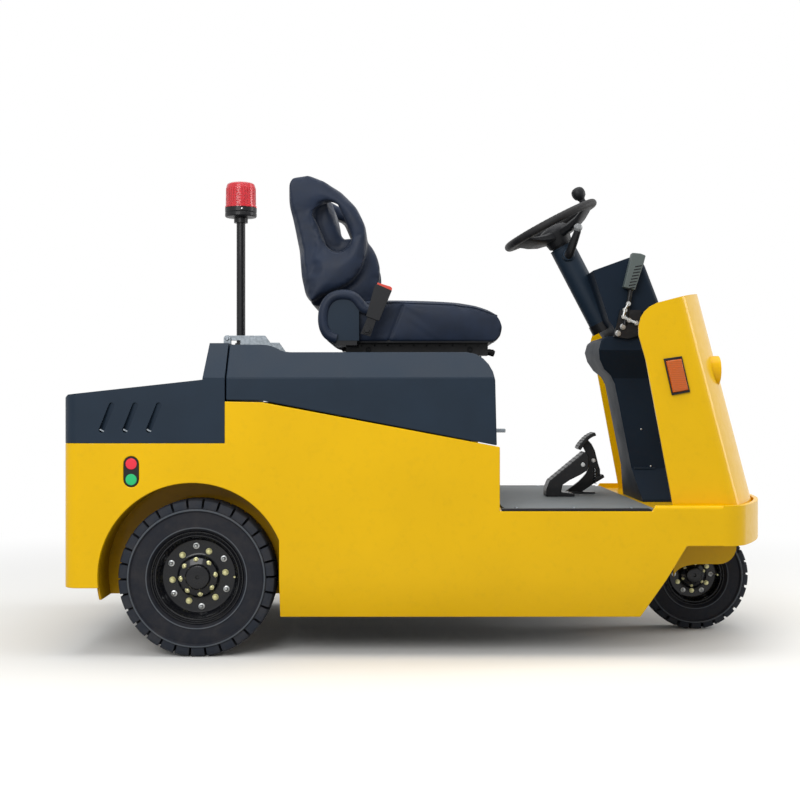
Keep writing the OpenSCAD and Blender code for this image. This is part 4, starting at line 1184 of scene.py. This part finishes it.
# piping along the cushion's upper edges: x, distance from the middle plane and z
piping = [(-236, 236, 948), (-150, 236, 949), (-60, 236, 951), (40, 236, 949), (110, 236, 944), (160, 235, 936),
          (200, 233, 924), (226, 228, 906)]
laidOn(pads["seat_cushion"], "cushion_piping", "hood", "leatherette",
       [smoothPath([(x, side * y, z) for x, y, z in piping]) for side in (-1, 1)], 2.1, 0.6)


# hip restraints: a padded hoop round a flat plate, strapped to the seat rail
hoop = {
    "y": 260,
    "radius": 14.4,
    "path": [(-216, 848), (-232, 852), (-246, 864), (-254, 886), (-255, 910), (-251, 934), (-241, 953),
             (-226, 965), (-207, 970), (-185, 969.5), (-168, 963), (-156, 951), (-147, 937), (-136, 929),
             (-114, 925)],
    "plate": [(-236, 842), (-154, 842), (-154, 938), (-170, 954), (-188, 961), (-208, 961), (-228, 955),
              (-242, 938), (-242, 852)],
    "railY": 170.4,
    "strap": [(-220, 829), (-160, 829), (-160, 849), (-220, 849)],
    "bracket": [(-220, 829), (-160, 829), (-160, 838), (-220, 838)],
}


def restraints(bm):
    for side in (-1, 1):
        y, rail = side * hoop["y"], side * hoop["railY"]
        path = [(x, y, z) for x, z in smoothPath(hoop["path"])]
        tube(bm, path, hoop["radius"], 24)
        turned(bm, [(0, 0), (12.6, 0), (11, 5), (6, 7.5), (0, 8)], facing(path[-1], (1, 0, 0)), 24)
        prism(bm, hoop["plate"], y - 5, y + 5, material=1)
        prism(bm, hoop["strap"], y - 3.5, y + 3.5, material=2)
        prism(bm, hoop["bracket"], min(rail, y), max(rail, y), material=2)


newShape("hip_restraints", "hood", ["leatherette", "coverAbs", "satinBlack"], restraints,
         ["seat_restraints"], 45)

# belt buckle on its stalk, its press button on top
belt = {
    "y": -284.3,
    "buckle": [(-134, 908), (-98, 895), (-63, 979), (-104, 997), (-110, 992)],
    "button": [(-104, 995), (-63, 978), (-62, 986), (-66, 990), (-102, 1001)],
    "stalk": [(-130, 906), (-106, 898), (-122, 852), (-149, 860)],
    "bolt": (-131.5, 870),
}


def buckle(bm):
    y = belt["y"]
    prism(bm, belt["buckle"], y - 9.5, y + 9.5)
    prism(bm, belt["button"], y - 8, y + 8, material=1)
    prism(bm, belt["stalk"], y - 4, y + 4)
    hexHead(bm, facing((belt["bolt"][0], y - 4, belt["bolt"][1]), (0, -1, 0)), 15, 6, 0, 12.5)


newShape("belt_buckle_shape", "hood", ["blackAbs", "buckleRed", "zincPlate"], buckle,
         ["belt_buckle"], 35, 2)

# seat slide: adjuster bar with its black knob, the rails' bolts and screws, and the plates of the seat's base
print("seat fittings")
slide = {
    "railY": 170, "boltsX": (-130, 160), "boltZ": 820, "screws": 11, "screwX": -186, "screwPitch": 37, "screwZ": 832,
    "bar": [(196, -104, 822), (212, -104, 820), (222, -104, 815)], "knob": (214, -104, 817),
    "plate": [(-236, 838), (225, 838), (214, 846), (-230, 846)], "plateY": 226,
}


def seatBase(bm):
    for side in (-1, 1):
        for x in slide["boltsX"]:
            hexHead(bm, facing((x, side * slide["railY"], slide["boltZ"]), (0, side, 0)), 11, 5, 1, 8)
    tube(bm, slide["bar"], 5, 14)
    turned(bm, [(0, 0), (8, 0), (9.5, 4), (9.5, 18), (8, 21), (0, 22)], facing(slide["knob"], (1, 0, -0.3)), 24, 1)
    for side in (-1, 1):
        y = side * slide["plateY"]
        prism(bm, slide["plate"], y - 4, y + 4, material=1)
    for k in range(slide["screws"]):
        for side in (-1, 1):
            place = (slide["screwX"] + slide["screwPitch"] * k, side * slide["railY"], slide["screwZ"])
            domeHead(bm, facing(place, (0, side, 0)), 2.6, 1.4, 1)


newShape("seat_base_fittings", "hood", ["zincPlate", "blackAbs"], seatBase, (), 35)


# floor, backdrop and lamps: the floor shades into the white backdrop between two distances, in metres
stage = {
    "size": 60, "fadeFrom": 1.1, "fadeTo": 3.4,
    "seen": "#eeeeec", "bounced": "#a5a5a2",      # floor colour for shown rays and for bounced light
    "seenGlow": 1.0, "bouncedGlow": 0.5, "bouncedSky": 0.55,
}
lamps = {
    "overhead": {"place": (0.2, -0.6, 4.2), "aim": (0, 0, 0.4), "size": (4.0, 3.0), "watts": 95},
    "side": {"place": (-1.6, -4.2, 2.6), "aim": (0, 0, 0.5), "size": (2.6, 2.0), "watts": 100},
    "front": {"place": (4.6, 0.8, 2.0), "aim": (0.7, 0, 0.7), "size": (1.6, 2.6), "watts": 70},
}


def shownRays(tree):
    # 1 for the rays that show the backdrop: straight from the camera, through glass or off a glossy surface
    path = addNode(tree, "LightPath").outputs
    straight = addNode(tree, "Math", {"operation": "MAXIMUM"}, i0=path["Is Camera Ray"],
                       i1=path["Is Transmission Ray"]).outputs[0]
    return addNode(tree, "Math", {"operation": "MAXIMUM"}, i0=straight, i1=path["Is Glossy Ray"]).outputs[0]


def stageMaterial():
    # a pale painted floor that fades into the white backdrop a few metres from the tug
    material, tree, shader = newMaterial(Roughness=0.85, Specular_IOR_Level=0.1)
    material.name = "paleFloor"
    seen = shownRays(tree)
    paint = addNode(tree, "Mix", {"data_type": "RGBA"}, i0=seen, i6=linear(stage["bounced"]),
                    i7=linear(stage["seen"])).outputs[2]
    tree.links.new(paint, shader.inputs["Base Color"])
    place = addNode(tree, "TexCoord").outputs["Object"]
    away = addNode(tree, "VectorMath", {"operation": "LENGTH"}, i0=place).outputs["Value"]
    far = addNode(tree, "MapRange", {"interpolation_type": "SMOOTHSTEP"}, Value=away,
                  From_Min=stage["fadeFrom"], From_Max=stage["fadeTo"]).outputs[0]
    light = addNode(tree, "MapRange", Value=seen, To_Min=stage["bouncedGlow"],
                    To_Max=stage["seenGlow"]).outputs[0]
    glow = addNode(tree, "Emission", Strength=light)
    addNode(tree, "MixShader", None, tree.nodes["Material Output"].inputs["Surface"], i0=far,
            i1=shader.outputs[0], i2=glow.outputs[0])
    return material


def makeStage():
    mesh = bpy.data.meshes.new("floor")
    s = stage["size"] / 2
    mesh.from_pydata([(-s, -s, 0), (s, -s, 0), (s, s, 0), (-s, s, 0)], [], [(0, 1, 2, 3)])
    floor = bpy.data.objects.new("floor", mesh)
    scene.collection.objects.link(floor)
    mesh.materials.append(stageMaterial())


def makeWorld():
    world = bpy.data.worlds.new("studio")
    scene.world = world
    world.use_nodes = True
    tree = world.node_tree
    background = tree.nodes["Background"]
    background.inputs["Color"].default_value = (1, 1, 1, 1)
    addNode(tree, "MapRange", None, background.inputs["Strength"], Value=shownRays(tree),
            To_Min=stage["bouncedSky"])


def makeLamp(name, setup):
    lamp = bpy.data.objects.new(name, bpy.data.lights.new(name, "AREA"))
    lamp.data.shape = "RECTANGLE"
    lamp.data.size, lamp.data.size_y = setup["size"]
    lamp.data.energy = setup["watts"]
    lamp.location = setup["place"]
    lamp.rotation_euler = (Vector(setup["aim"]) - Vector(setup["place"])).to_track_quat("-Z", "Y").to_euler()
    scene.collection.objects.link(lamp)


print("stage")
scene.view_settings.view_transform = "Standard"
makeCamera(cameraSetup)
makeStage()
makeWorld()
for name, setup in lamps.items():
    makeLamp(name, setup)
